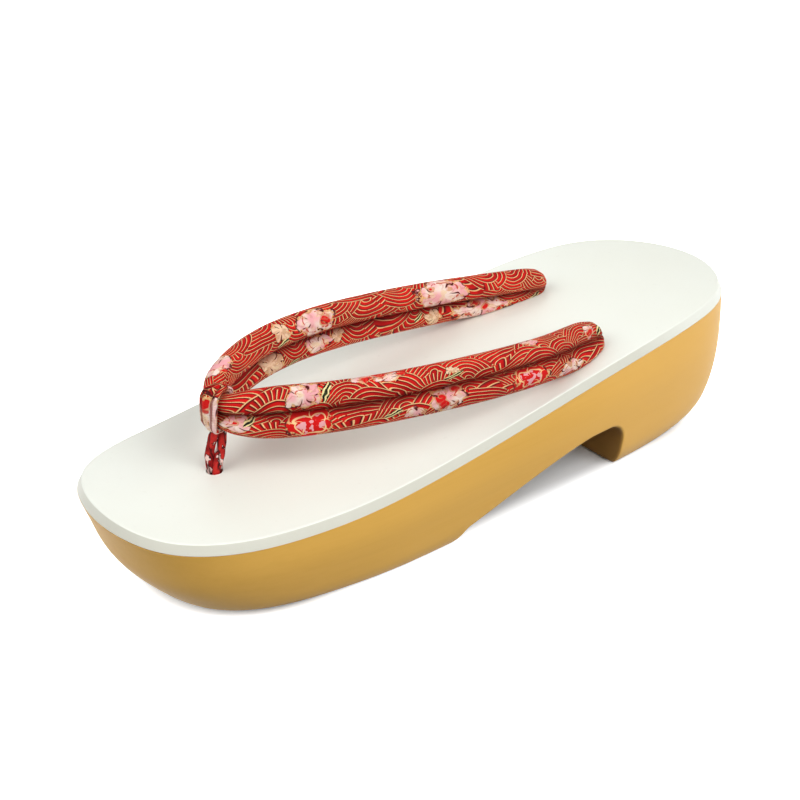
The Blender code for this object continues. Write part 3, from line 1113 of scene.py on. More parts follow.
@dataclass(frozen=True)
class Deck:
    """Outline and rise that the block, the board and the straps share."""

    toe_y: float
    length: float = 0.2350
    half_width: float = 0.0399
    ball_height: float = 0.0292
    heel_height: float = 0.0455
    board_thickness: float = 0.0030
    flare: float = 0.0014
    seat_gap: float = 0.0003
    # Columns: share of the length from the toe, and the half width as a share of an ellipse's.
    fullness: Curve = Curve(
        (
            (0.000, 1.930), (0.040, 1.640), (0.090, 1.420), (0.170, 1.232), (0.260, 1.127), (0.340, 1.055),
            (0.500, 0.982), (0.680, 1.016), (0.850, 1.203), (0.930, 1.345), (1.000, 1.425),
        )
    )
    # Columns: share of the length from the toe, and the share of the rise from ball to heel.
    rise: Curve = Curve(
        (
            (0.000, 0.165), (0.128, 0.000), (0.255, 0.030), (0.383, 0.188), (0.500, 0.400),
            (0.640, 0.675), (0.766, 0.884), (0.894, 1.000), (1.000, 0.981),
        )
    )

    def height(self, y: Numbers) -> Numbers:
        """Height of the deck's top at each y."""
        share = (np.asarray(y) - self.toe_y) / self.length
        return self.ball_height + (self.heel_height - self.ball_height) * self.rise(share)

    def station(self, angle: Numbers) -> Numbers:
        """The y that an angle of the outline stands for."""
        return self.toe_y + (1 - np.cos(angle)) / 2 * self.length

    def outline(self, angle: Numbers, toe_in: Numbers, heel_in: Numbers,
                side_in: Numbers) -> tuple[Numbers, Numbers, Numbers]:
        """Points of the plan outline.

        Args:
            angle: From 0 at the toe to pi at the heel.
            toe_in: Inset of the toe end.
            heel_in: Inset of the heel end.
            side_in: Inset of the sides.

        Returns:
            x, y and the y of the same station on the deck's own outline.
        """
        share = (1 - np.cos(angle)) / 2
        half = self.half_width * np.sin(angle) * self.fullness(share)
        x = half * (self.half_width - side_in) / self.half_width
        y = self.toe_y + toe_in + share * (self.length - toe_in - heel_in)
        return x, y, self.station(angle)


def mirrored(points: Numbers) -> Numbers:
    """Close a half ring of points, toe to heel on +X, with its mirror image."""
    back = points[..., -2:0:-1, :] * np.array([-1.0, 1.0, 1.0])
    return np.concatenate((points, back), axis=-2)


@dataclass
class CordHoles:
    """Where the core cords run."""

    deck: Deck
    cord_radius: float = 0.0025
    clearance: float = 0.00035
    bore_sides: int = 32
    strand_bore: float = 0.0025
    knot_radius: float = 0.0044
    knot_half_height: float = 0.0034
    rear_inset: float = 0.0052
    rear_drop_share: float = 0.5
    rear_rise_share: float = 0.8
    front_from_toe: float = 0.0381
    front_offset: float = -0.0026
    pocket_radius: float = 0.0090
    pocket_depth: float = 0.0110
    pocket_sides: int = 64
    mouth_ease: float = 0.0007
    overrun: float = 0.0040
    arch_height: float = 0.0180
    rear_knot_y: float = 0.1586
    paths: dict[str, tuple[Vector, Vector]] = field(default_factory=dict)

    def cutters(self, front_radius: float | None = None) -> list[Piece]:
        """One bore cutter for each cord.

        Args:
            front_radius: Radius of the front bore, if it isn't as wide as the others.

        Returns:
            The cutters.
        """
        made = []
        for side, (top, bottom) in self.paths.items():
            radius = self.cord_radius + self.clearance
            if side == "front" and front_radius is not None:
                radius = front_radius
            reach = (bottom - top).length + self.overrun
            profile = ((-self.overrun, radius), (reach, radius))
            made.append(lathe(f"{side}_bore", top, bottom, profile, self.bore_sides))
        return made

    def pocket(self) -> Piece:
        """Cutter of the knot pocket under the forefoot, with an eased mouth.

        Returns:
            The cutter.
        """
        low = Vector((self.front_offset, self.deck.toe_y + self.front_from_toe, 0.0))
        wide, ease = self.pocket_radius, self.mouth_ease
        mouth = ((-self.overrun, wide + ease), (0.0, wide + ease), (ease * 0.3, wide + ease * 0.3))
        profile = (*mouth, (ease, wide), (self.pocket_depth, wide))
        return lathe("pocket", low, low + Vector((0, 0, 1)), profile, self.pocket_sides)


@dataclass
class SoleBlock:
    """The carved sole: rounded sides, a low prow and an arch between forefoot and heel."""

    deck: Deck
    holes: CordHoles
    toe_tuck: float = 0.0198
    heel_tuck: float = 0.0133
    side_tuck: float = 0.0051
    arch_start: float = 0.0950
    arch_length: float = 0.0711
    step_run: float = 0.0045
    step_rise: float = 0.0052
    step_foot_radius: float = 0.0022
    step_head_radius: float = 0.0030
    level_run: float = 0.0145
    corner_radius: float = 0.0070
    curl: float = 1.3
    edge_radius: float = 0.0010
    foot_radius: float = 0.0016
    seam: float = 0.00003
    # Columns: share of the depth below the deck, then the shares of the toe, heel and side tucks.
    levels: Table = (
        (0.00, 0.000, 0.000, 0.000), (0.30, 0.147, -0.035, -0.070), (0.55, 0.287, -0.038, 0.094),
        (0.80, 0.575, 0.173, 0.308), (0.92, 0.780, 0.500, 0.580), (1.00, 1.000, 1.000, 1.000),
    )
    wall_rows: int = 26
    edge_rows: int = 6
    arch_steps: int = 25
    arch_spacing: float = 0.0010
    tread_spacing: float = 0.0013
    ground_run: float = 0.0060
    spread_width: float = 0.010
    spread_ease: float = 0.03
    sharp_degrees: float = 35.0

    def __post_init__(self) -> None:
        """Fit the curves of the three tucks."""
        self.tucks = [Curve(self.levels, column) for column in (1, 2, 3)]

    def top(self, station_y: Numbers) -> Numbers:
        """Height of the block's top under the board."""
        return self.deck.height(station_y) - self.deck.board_thickness - self.seam

    def rim(self, angle: Numbers, depth: Numbers) -> tuple[Numbers, Numbers, Numbers]:
        """Plan position of the side wall, and the top's height above it.

        Args:
            angle: From 0 at the toe to pi at the heel.
            depth: Share of the depth below the deck.

        Returns:
            x, y and the height of the block's top at the same station.
        """
        toe, heel, side = (curve(depth) for curve in self.tucks)
        flare = self.deck.flare
        x, y, station = self.deck.outline(
            angle, toe * self.toe_tuck - flare, heel * self.heel_tuck - flare, side * self.side_tuck - flare
        )
        return x, y, self.top(station)

    def skin(self, angle: Numbers, height: Numbers, inset: Numbers) -> Numbers:
        """Points on the side wall, or inside it.

        Args:
            angle: From 0 at the toe to pi at the heel.
            height: Heights above the ground.
            inset: Distance inside the wall.

        Returns:
            The points, with their coordinates along the last axis.
        """
        station = self.deck.station(angle)
        depth = np.clip(1 - height / self.top(station), 0.0, 1.0)
        x, y, _ = self.rim(angle, depth)
        small = 1e-4
        x1, y1, _ = self.rim(angle + small, depth)
        x0, y0, _ = self.rim(angle - small, depth)
        tx, ty = x1 - x0, y1 - y0
        size = np.hypot(tx, ty)
        return np.stack((x - inset * ty / size, y + inset * tx / size, height + 0 * x), axis=-1)

    def angle_of(self, y: Numbers, height: Numbers, inset: Numbers) -> Numbers:
        """Angle at which the inset wall passes a given y.

        Args:
            y: Where it passes.
            height: At which height.
            inset: Distance inside the wall.

        Returns:
            The angle for each y, found by halving.
        """
        low, high = np.zeros_like(y), np.full_like(y, math.pi)
        for _ in range(40):
            middle = (low + high) / 2
            short = self.skin(middle, height, inset)[..., 1] < y
            low, high = np.where(short, middle, low), np.where(short, high, middle)
        return (low + high) / 2

    def arch_line(self) -> Numbers:
        """Side view of the arch with a stretch of ground at both ends.

        Returns:
            y and height of its points.
        """
        start = self.deck.toe_y + self.arch_start
        end = self.deck.toe_y + (self.arch_start + self.arch_length)
        begin, level = self.arch_start + self.step_run, self.arch_start + self.arch_length - self.level_run
        corners = [
            (start - self.ground_run, 0.0, 0.0),
            (start, 0.0, self.step_foot_radius),
            (self.deck.toe_y + begin, self.step_rise, self.step_head_radius),
        ]
        for share in np.linspace(0, 1, self.arch_steps)[2:]:
            rise = (self.holes.arch_height - self.step_rise) * (1 - (1 - share) ** self.curl)
            corners.append((self.deck.toe_y + begin + (level - begin) * share, self.step_rise + rise, 0.0))
        corners += [
            (end, self.holes.arch_height, self.corner_radius),
            (end, 0.0, self.foot_radius),
            (end + self.ground_run, 0.0, 0.0),
        ]
        return rounded_line(corners, self.arch_spacing)

    def treads(self, first: float, last: float) -> list[Numbers]:
        """Evenly spaced angles round both treads.

        Args:
            first: Angle at which the toe tread ends.
            last: Angle at which the heel tread starts.

        Returns:
            The angles of the toe tread and of the heel tread.
        """
        dense = np.linspace(0, math.pi, 1500)
        x, y, _ = self.rim(dense, np.ones_like(dense))
        run = running_sum(np.hypot(np.diff(x), np.diff(y)))
        treads = []
        for ends in ((0.0, first), (last, math.pi)):
            start, stop = np.interp(ends, dense, run)
            count = max(8, round((stop - start) / self.tread_spacing))
            treads.append(np.interp(np.linspace(start, stop, count), run, dense))
        return treads

    def lower_edge(self, line: Numbers) -> list[tuple[Numbers, Numbers, float]]:
        """Rows of the eased lower edge, from the wall in to the treads and the arch.

        Args:
            line: Side view of the arch, with ground at both ends.

        Returns:
            For each row the angles and heights of its points, and its inset from the wall.
        """
        edge, size = self.edge_radius, len(line)
        ahead = unit(np.gradient(line, axis=0))
        normal = np.stack((ahead[:, 1], -ahead[:, 0]), axis=1)
        fixed = self.angle_of(line[:, 0], np.zeros(size), np.full(size, edge))
        toe_tread, heel_tread = self.treads(float(fixed[0]), float(fixed[-1]))
        toe_tread, heel_tread = toe_tread[:-1], heel_tread[1:]
        reach = np.minimum(line[:, 0] - line[0, 0], line[-1, 0] - line[:, 0])
        share = np.clip(reach / self.ground_run, 0, 1)
        rows = []
        for turn in np.linspace(0, math.pi / 2, self.edge_rows):
            inset, back = edge * (1 - math.cos(turn)), edge * (1 - math.sin(turn))
            spot = line - normal * back
            solved = self.angle_of(spot[:, 0], np.maximum(spot[:, 1], 0), np.full(size, inset))
            solved = np.where(line[:, 1] > 0, solved, fixed + (solved - fixed) * share)
            lows = (np.full(len(toe_tread), back), spot[:, 1], np.full(len(heel_tread), back))
            rows.append((np.concatenate((toe_tread, solved, heel_tread)), np.concatenate(lows), inset))
        return rows

    def build(self) -> Piece:
        """Lay the walls, the lower edge, the arch and both treads, then cut the pocket and the bores.

        Returns:
            The block.
        """
        rows = self.lower_edge(self.arch_line())
        angle, height, _ = rows[0]
        top_angle = self.spread(angle, height)
        base = height / self.top(self.deck.station(angle))
        walls = []
        for share in np.linspace(1, 0, self.wall_rows, endpoint=False):
            at = angle + (top_angle - angle) * share
            level = self.top(self.deck.station(at)) * (base + (1 - base) * share)
            walls.append(self.skin(at, level, np.zeros(len(at))))
        walls += [self.skin(at, level, np.full(len(at), inset)) for at, level, inset in rows]
        draft = MeshDraft("wooden_sole")
        numbers = draft.add(mirrored(np.array(walls)))
        draft.sheet(numbers, round_columns=True)
        draft.lid(numbers[0], flip=True)
        draft.lid(numbers[-1])
        block = draft.build(self.sharp_degrees)
        cut(block, [self.holes.pocket(), *self.holes.cutters()], self.sharp_degrees)
        return block

    def spread(self, angle: Numbers, height: Numbers) -> Numbers:
        """Where the columns above the lower edge meet the top, evened out over the arch's steep end.

        Args:
            angle: Angles of the lower edge.
            height: Its heights.

        Returns:
            Angles at the top.
        """
        _, y, _ = self.rim(angle, np.zeros_like(angle))
        run = running_sum(np.hypot(np.diff(y), np.diff(height)))
        even = np.linspace(0, run[-1], 1200)
        values = np.interp(even, run, angle)
        width = self.spread_width / (even[1] - even[0])
        kernel = np.exp(-0.5 * (np.arange(-int(3 * width), int(3 * width) + 1) / width) ** 2)
        half = len(kernel) // 2
        before = 2 * values[0] - values[half:0:-1]
        after = 2 * values[-1] - values[-2 : -half - 2 : -1]
        padded = np.concatenate((before, values, after))
        soft = np.convolve(padded, kernel / kernel.sum(), "valid")[: len(even)]
        middle = np.interp(run, even, soft)
        share = np.clip(np.minimum(run, run[-1] - run) / self.spread_ease, 0, 1)
        return angle + (middle - angle) * share * share * (3 - 2 * share)

    def dress(self, block: Piece) -> None:
        """Give the block its paint and its place."""
        settle(block, OchreWood().make(), "sole_block", Slot.WOOD)


@dataclass
class TopBoard:
    """The white top board with a flared side and eased edges."""

    deck: Deck
    holes: CordHoles
    crest_radius: float = 0.0006
    foot_radius: float = 0.0001
    cap_inset: float = 0.0030
    spacing: float = 0.0009
    steps: int = 160
    sharp_degrees: float = 30.0

    def build(self) -> Piece:
        """Lay rings from the top's rim to the underside's, close both with strips and cut the bores.

        Returns:
            The board.
        """
        deck, thick = self.deck, self.deck.board_thickness
        corners = [
            (-self.cap_inset, 0.0, 0.0),
            (0.0, 0.0, self.crest_radius),
            (deck.flare, -thick, self.foot_radius),
            (-self.cap_inset, -thick, 0.0),
        ]
        section = rounded_line(corners, self.spacing)
        angle = np.linspace(0, math.pi, self.steps + 1)
        rings = []
        for outset, drop in section:
            x, y, _ = deck.outline(angle, -outset, -outset, -outset)
            x[0] = x[-1] = 0.0
            rings.append(np.stack((x, y, deck.height(y) + drop), axis=-1))
        draft = MeshDraft("white_board")
        numbers = draft.add(mirrored(np.array(rings)))
        draft.sheet(numbers, round_columns=True)
        draft.lid(numbers[0], flip=True)
        draft.lid(numbers[-1])
        board = draft.build(self.sharp_degrees)
        cut(board, self.holes.cutters(self.holes.strand_bore), self.sharp_degrees)
        return board

    def dress(self, board: Piece) -> None:
        """Give the board its lacquer and its place."""
        settle(board, IvoryBoard().make(), "top_board", Slot.BOARD)


@dataclass
class HanaoStraps:
    """The padded pair of rolls from the near rear hole round the front to the far one."""

    deck: Deck
    roll_radius: float = 0.0040
    rise: float = 0.0204
    dome: float = 0.0050
    spacing: float = 0.92
    tip_merge: float = 0.50
    step: float = 0.0007
    lobe_points: int = 28
    sharp_degrees: float = 55.0
    apex_row: int = 9
    # Columns: from the toe as a share of the deck's length, to the wearer's left as a share of its
    # half width, up as a share of the rise, lean in degrees, and the share of the roll radius.
    route_table: Table = (
        (0.702, 0.640, 0.120, 66.0, 0.86), (0.672, 0.675, 0.180, 66.0, 0.90),
        (0.577, 0.790, 0.465, 68.0, 0.91), (0.475, 0.787, 0.722, 72.0, 0.93),
        (0.374, 0.660, 0.880, 76.0, 0.94), (0.272, 0.416, 0.945, 77.0, 0.98),
        (0.217, 0.216, 0.950, 79.0, 0.98), (0.193, 0.120, 0.955, 82.0, 0.89),
        (0.178, 0.036, 0.965, 86.0, 0.75), (0.173, -0.050, 0.975, 90.0, 0.66),
        (0.177, -0.145, 0.980, 88.0, 0.75), (0.191, -0.245, 0.985, 86.0, 0.92),
        (0.219, -0.350, 1.000, 84.0, 1.03), (0.268, -0.472, 1.010, 83.0, 1.07),
        (0.378, -0.548, 0.925, 82.0, 1.05), (0.493, -0.508, 0.705, 80.0, 1.04),
        (0.613, -0.428, 0.415, 77.0, 1.00), (0.725, -0.340, 0.155, 74.0, 0.92),
        (0.754, -0.320, 0.110, 74.0, 0.86),
    )
    tip_merge_reach: float = 0.0065
    tip_gather: float = 0.8
    tip_gather_reach: float = 0.0060
    front_gather_reach: float = 0.0055
    fold_depth: float = 0.045
    pucker_depth: float = 0.035
    swell_depth: float = 0.012
    pucker_rate: float = 1900.0  # radians per metre along the route
    # Columns: along, around, half length and half width in millimetres, and the colouring.
    blossoms: tuple[tuple[float | Bloom, ...], ...] = (
        (109.5, 6.3, 4.6, 4.4, Bloom.PINK), (92.5, 10.4, 3.4, 2.2, Bloom.PINK),
        (85.5, 9.2, 3.6, 1.8, Bloom.PINK), (67.6, 6.9, 1.7, 1.3, Bloom.CREAM),
        (65.0, 6.1, 1.5, 1.2, Bloom.CREAM), (37.2, 9.6, 2.6, 1.6, Bloom.PINK),
        (9.5, 5.0, 2.2, 2.2, Bloom.PINK), (128.9, 41.0, 3.4, 3.0, Bloom.PINK),
        (108.6, 39.6, 6.0, 4.6, Bloom.RED), (79.0, 37.6, 2.6, 1.6, Bloom.PINK),
        (69.3, 39.8, 4.8, 4.6, Bloom.PINK), (40.6, 39.4, 6.2, 4.2, Bloom.RED),
        (22.8, 37.8, 5.6, 2.4, Bloom.PINK), (147.4, 9.6, 4.6, 4.2, Bloom.PINK),
        (174.2, 14.4, 3.4, 2.6, Bloom.CREAM), (187.0, 15.0, 6.6, 4.1, Bloom.PINK),
        (234.8, 15.0, 9.0, 5.0, Bloom.PINK), (169.2, 24.6, 5.0, 3.6, Bloom.CREAM),
        (188.6, 25.0, 4.2, 2.8, Bloom.PINK), (195.6, 24.2, 2.2, 2.0, Bloom.CREAM),
        (232.8, 25.2, 3.4, 2.6, Bloom.CREAM), (252.0, 25.6, 11.0, 3.8, Bloom.PINK),
        (70.0, 19.0, 5.5, 4.5, Bloom.PINK), (110.0, 26.0, 5.0, 5.0, Bloom.PINK),
        (40.0, 24.0, 5.0, 5.0, Bloom.CREAM), (264.0, 38.0, 6.0, 5.0, Bloom.RED),
        (222.0, 1.5, 6.0, 3.5, Bloom.PINK), (200.0, 36.0, 7.0, 5.0, Bloom.PINK),
        (151.0, 36.0, 5.0, 4.0, Bloom.RED), (16.0, 21.0, 5.0, 4.0, Bloom.RED),
        (84.0, 29.0, 4.5, 3.5, Bloom.PINK),
    )
    # Columns: along, around, half length and half width in millimetres.
    leaves: Table = (
        (103.6, 7.0, 1.5, 3.6), (125.4, 41.6, 1.6, 2.0), (85.6, 38.8, 2.8, 1.1), (3.6, 4.6, 2.0, 3.0),
        (66.2, 4.8, 3.0, 0.9), (173.6, 17.8, 2.4, 1.5), (178.6, 28.2, 2.2, 1.3), (227.2, 24.6, 1.6, 1.6),
        (273.4, 24.2, 1.8, 1.6), (76.6, 18.0, 2.0, 2.6), (118.0, 27.0, 2.0, 3.0), (209.0, 37.0, 2.0, 3.0),
        (48.0, 23.0, 2.0, 3.0), (259.0, 33.0, 2.4, 1.6), (118.4, 1.0, 3.4, 0.9),
    )

    def __post_init__(self) -> None:
        """Fit the curves of the route."""
        rows = np.array(self.route_table)
        y = self.deck.toe_y + rows[:, 0] * self.deck.length
        x = rows[:, 1] * self.deck.half_width
        z = self.deck.height(y) + rows[:, 2] * self.rise
        self.run = running_sum(np.sqrt(np.diff(x) ** 2 + np.diff(y) ** 2 + np.diff(z) ** 2))
        table = tuple(zip(self.run, x, y, z, rows[:, 3], rows[:, 4] * self.roll_radius))
        self.curves = [Curve(table, column) for column in (1, 2, 3, 4, 5)]
        self.apex = float(self.run[self.apex_row])

    def frames(self, at: Numbers) -> tuple[Numbers, Numbers, Numbers, Numbers]:
        """Where the pair lies along its route.

        Args:
            at: Distances along the route.

        Returns:
            Centre, direction across, direction from the lower to the upper roll, and roll radius.
        """
        centre = np.stack([curve(at) for curve in self.curves[:3]], axis=-1)
        small = 2e-4
        ahead = unit(np.stack([curve(at + small) - curve(at - small) for curve in self.curves[:3]], axis=-1))
        inward = unit(np.cross(ahead, (0.0, 0.0, 1.0)))
        upward = np.cross(inward, ahead)
        lean = np.radians(self.curves[3](at))[..., None]
        pair = inward * np.cos(lean) + upward * np.sin(lean)
        return centre, np.cross(ahead, pair), pair, self.curves[4](at)

    def size_at(self, at: Numbers, turn: Numbers, reach: Numbers, gather: Numbers, seed: float) -> Numbers:
        """Size of one roll with its swelling, puckers and folds, as a share of the plain roll's.

        Args:
            at: Distances along the route, one row each.
            turn: Angles round the roll.
            reach: Angle at which the roll meets the groove, one row each.
            gather: How tightly the cloth is gathered, one row each.
            seed: Number that tells the two rolls apart.

        Returns:
            The share at each place and angle.
        """
        near_groove = np.exp(-(((reach - np.abs(turn)) / 0.5) ** 2))
        pucker = np.sin(at * self.pucker_rate + 1.3 * ripple(at * 300, seed) + 2.0 * np.sign(turn))
        swell = self.swell_depth * ripple(at * 170 + turn * 0.7, seed)
        swell = swell - self.pucker_depth * near_groove * (0.5 + 0.5 * pucker)
        folds = self.fold_depth * gather * np.sin(9 * turn + 3 * ripple(at * 120, seed + 4))
        return 1 + swell + folds

    def build(self) -> Piece:
        """Sweep the two-roll section along the route and close the rear tips.

        Returns:
            The straps.
        """
        total = self.run[-1]
        ease = self.dome * (1 - np.cos(np.linspace(0, math.pi / 2, 12)))[1:]
        body = np.linspace(self.dome, total - self.dome, round((total - 2 * self.dome) / self.step))
        at = np.concatenate(([1e-5], ease, body[1:-1], (total - ease)[::-1], [total - 1e-5]))
        centre, across, pair, radius = self.frames(at)
        from_end = np.minimum(at, total - at)
        share = np.clip(from_end / self.dome, 0, 1)
        closing = np.sqrt(np.clip(1 - (1 - share) ** 2, 0.0016, 1))
        radius = radius * closing
        spacing = self.spacing - self.tip_merge * np.exp(-((from_end / self.tip_merge_reach) ** 2))
        reach = np.arccos(-spacing)[:, None]
        turn = reach * np.linspace(-1, 1, self.lobe_points + 1)[None, :-1]
        gather = np.exp(-((np.abs(at - self.apex) / self.front_gather_reach) ** 2))
        gather = gather + self.tip_gather * np.exp(-((from_end / self.tip_gather_reach) ** 2))
        points = []
        for side, seed in ((1, 0.3), (-1, 2.1)):
            size = radius[:, None] * self.size_at(at[:, None], turn, reach, gather[:, None], seed)
            up = side * (radius[:, None] * spacing[:, None] + size * np.cos(turn))
            out = side * size * np.sin(turn)
            points.append(centre[:, None] + pair[:, None] * up[..., None] + across[:, None] * out[..., None])
        grid = np.concatenate(points, axis=1)
        floor = self.deck.height(grid[..., 1]) + self.deck.seat_gap
        grid[..., 2] = np.maximum(grid[..., 2], floor)
        draft = MeshDraft("padded_straps")
        numbers = draft.add(grid)
        perimeter = 4 * math.acos(-self.spacing) * self.roll_radius * MILLIMETRES
        round_all = np.linspace(0, perimeter, 2 * self.lobe_points + 1)
        cloth = np.stack(np.meshgrid(at * MILLIMETRES, round_all, indexing="ij"), axis=-1)
        draft.sheet(numbers, cloth, round_columns=True)
        draft.face(numbers[0], flip=True, cloth=(0.0, 10.0))
        draft.face(numbers[-1], cloth=(float(total) * MILLIMETRES, 10.0))
        return draft.build(self.sharp_degrees)

    def dress(self, straps: Piece) -> None:
        """Give the straps their brocade and their place.

        Args:
            straps: The padded straps.
        """
        flowers = tuple(Motif(*row) for row in self.blossoms)
        leaves = tuple(Motif(*row) for row in self.leaves)
        settle(straps, Brocade(flowers=flowers, leaves=leaves).make(), "hanao_straps", Slot.STRAP)


@dataclass
class FrontThong:
    """The cloth wrap round the straps' front and its two strands."""

    deck: Deck
    straps: HanaoStraps
    holes: CordHoles
    strand_radius: float = 0.0016
    first_turn: float = 5.0
    last_turn: float = 100.0
    strand_start: float = 0.0025
    strand_bow: float = 0.0005
    strand_tuck: float = 0.0006
    strand_rows: int = 70
    strand_sides: int = 24
    strand_lay: float = 35.0
    wrap_width: float = 0.0047
    wrap_thickness: float = 0.0019
    wrap_clearance: float = 0.0004
    wrap_narrowing: float = 0.30
    fold_depth: float = 0.34
    fold_rate: float = 8.5
    wrap_rings: int = 96
    wrap_sides: int = 40
    wrap_cloth: tuple[float, float] = (40.0, 14.0)
    strand_cloth: tuple[float, float] = (60.0, 180.0)

    def around(self, at: Numbers, angle: Numbers, outset: Numbers) -> Numbers:
        """Points on the stretched circle that encloses the pair of rolls.

        Args:
            at: Distances along the straps' route.
            angle: Angles round the pair.
            outset: Distance outside the rolls.

        Returns:
            The points, with their coordinates along the last axis.
        """
        centre, across, pair, radius = self.straps.frames(at)
        upper = np.clip(np.sin(angle) * 4, -1, 1)
        out = across * np.cos(angle)[..., None] + pair * np.sin(angle)[..., None]
        lift = (radius * self.straps.spacing * upper)[..., None]
        return centre + pair * lift + out * (radius + outset)[..., None]

    def build_wrap(self) -> Piece:
        """Crowned band with soft folds that runs round the pair.

        Returns:
            The wrap.
        """
        angle = np.linspace(0, 2 * math.pi, self.wrap_rings, endpoint=False)[:, None]
        turn = np.linspace(0, 2 * math.pi, self.wrap_sides, endpoint=False)[None, :]
        across = np.sign(np.cos(turn)) * np.abs(np.cos(turn)) ** 0.7
        lift = np.sign(np.sin(turn)) * np.abs(np.sin(turn)) ** 0.8
        outer = np.clip(lift, 0, 1)
        folds = self.fold_depth * np.sin(across * self.fold_rate + ripple(angle, 1.2) + 0.8) * outer
        narrow = 1 - self.wrap_narrowing * np.clip(-np.sin(angle), 0, 1) ** 2 + 0.08 * ripple(angle * 2, 3.0)
        at = self.straps.apex + self.wrap_width / 2 * across * narrow
        outset = self.wrap_clearance + self.wrap_thickness / 2 * (1 + lift * (0.9 + folds * 1.2))
        points = self.around(at, angle + 0 * at, outset + 0 * at)
        draft = MeshDraft("thong_wrap")
        numbers = draft.add(points)
        along = np.linspace(0, self.wrap_cloth[0], self.wrap_rings + 1)
        section = np.linspace(0, self.wrap_cloth[1], self.wrap_sides + 1)
        cloth = np.stack(np.meshgrid(along, section, indexing="ij"), axis=-1)
        draft.sheet(numbers, cloth, round_rows=True, round_columns=True)
        return draft.build(70.0)

    def build_stem(self) -> Piece:
        """Two strands that come out of the deck together, part, and meet again under the wrap.

        Returns:
            The strands, as one object.
        """
        apex, below = np.array([self.straps.apex]), np.array([-math.pi / 2])
        top = self.around(apex, below, np.array([self.strand_tuck]))[0]
        base = np.array(self.holes.paths["front"][0])
        base[2] = float(self.deck.height(base[1])) - self.strand_start
        draft = MeshDraft("thong_strands")
        share = np.linspace(0, 1, self.strand_rows)
        # The strands touch at the deck, part above it and come together again under the wrap.
        for side, cloth_start in zip((1, -1), self.strand_cloth):
            turn = np.radians(self.first_turn + (self.last_turn - self.first_turn) * share)
            bulge = self.strand_radius * (0.46 + 0.50 * np.sin(math.pi * share * 0.85) ** 1.5)
            bow = self.strand_bow * np.sin(math.pi * share**0.8)
            x = base[0] + (top[0] - base[0]) * share + side * np.cos(turn) * bulge - bow
            y = base[1] + (top[1] - base[1]) * share + side * np.sin(turn) * bulge - bow
            z = base[2] + (top[2] - base[2]) * share
            taper = 0.14 * share**3 + 0.08 * (1 - share) ** 4
            radii = self.strand_radius * (0.96 + 0.09 * ripple(share * 9, 1.0 + side) - taper)
            line = np.stack((x, y, z), axis=-1)
            tube(draft, line, radii, self.strand_sides, self.strand_lay, lobes=3, depth=0.14,
                 cloth_start=cloth_start)
        return draft.build(60.0)

    def build(self) -> list[Piece]:
        """Build the wrap and the strands."""
        return [self.build_wrap(), self.build_stem()]

    def dress(self, pieces: list[Piece]) -> None:
        """Give the wrap its brocade, the strands their crepe and both their place.

        Args:
            pieces: The wrap and the strands.
        """
        brocade = Brocade(
            name="thong_brocade",
            wave_radius=5.0,
            rings=4,
            seam_every=self.wrap_cloth[1] / 6,
            seam_width=0.42,
            petal_pink=srgb(240, 200, 198),
            flowers=(Motif(24.0, 6.0, 7.5, 9.0), Motif(5.0, 9.0, 4.0, 5.0)),
            leaves=(Motif(14.0, 9.0, 1.2, 3.0),),
        )
        for piece, finish in zip(pieces, (brocade, FoldedCrepe())):
            settle(piece, finish.make(), "front_thong", Slot.THONG)


@dataclass
class CoreCords:
    """The cotton cords through the sole and the knots that hold them."""

    holes: CordHoles
    rows: int = 60
    sides: int = 30
    lay: float = 70.0
    knot_rows: int = 120
    knot_sides: int = 18
    knot_lay: float = 260.0
    knot_ring: float = 0.49
    knot_wave: float = 0.42
    knot_lift: float = 0.50
    knot_rope: float = 0.29

    def build(self) -> dict[str, list[Piece]]:
        """Build a cord and a knot for each hole.

        Returns:
            The cord and the knot of each hole, by its name.
        """
        made = {}
        for side, (top, bottom) in self.holes.paths.items():
            draft = MeshDraft(f"{side}_cord")
            line = np.linspace(np.array(top), np.array(bottom), self.rows)
            radii = np.full(self.rows, self.holes.cord_radius)
            tube(draft, line, radii, self.sides, self.lay, lobes=3, depth=0.22)
            made[side] = [draft.build(60.0), self.knot(f"{side}_knot", bottom)]
        return made

    def knot(self, name: str, centre: Vector) -> Piece:
        """Overhand knot drawn up tight, with its ends run into each other.

        Args:
            name: Name of the object.
            centre: Middle of the knot.

        Returns:
            The knot.
        """
        turn = np.linspace(0, 2 * math.pi, self.knot_rows, endpoint=False)
        wide, high = self.holes.knot_radius, self.holes.knot_half_height
        ring = wide * self.knot_ring * (1 + self.knot_wave * np.cos(3 * turn))
        loops = (ring * np.cos(2 * turn), ring * np.sin(2 * turn), high * self.knot_lift * np.sin(3 * turn))
        line = np.stack(loops, axis=-1) + np.array(centre)
        draft = MeshDraft(name)
        radii = np.full(len(line), wide * self.knot_rope)
        tube(draft, line, radii, self.knot_sides, self.knot_lay, lobes=3, depth=0.16, loop=True)
        return draft.build(60.0)

    def dress(self, made: dict[str, list[Piece]]) -> None:
        """Give the cords their cotton and their places.

        Args:
            made: The cord and the knot of each hole, by its name.
        """
        cotton = CottonCord().make()
        for side, pieces in made.items():
            for piece in pieces:
                settle(piece, cotton, "front_thong" if side == "front" else "hanao_straps", None)


def settle(piece: Piece, finish: bpy.types.Material, node: str, slot: Slot | None) -> None:
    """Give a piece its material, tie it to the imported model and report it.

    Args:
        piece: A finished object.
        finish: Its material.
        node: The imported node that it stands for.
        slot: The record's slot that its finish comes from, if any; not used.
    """
    piece.data.materials.clear()
    piece.data.materials.append(finish)
    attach(piece, "root")
    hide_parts(node)
    log.info("%s: %d faces, stands for %s", piece.name, len(piece.data.polygons), node)


# Studio


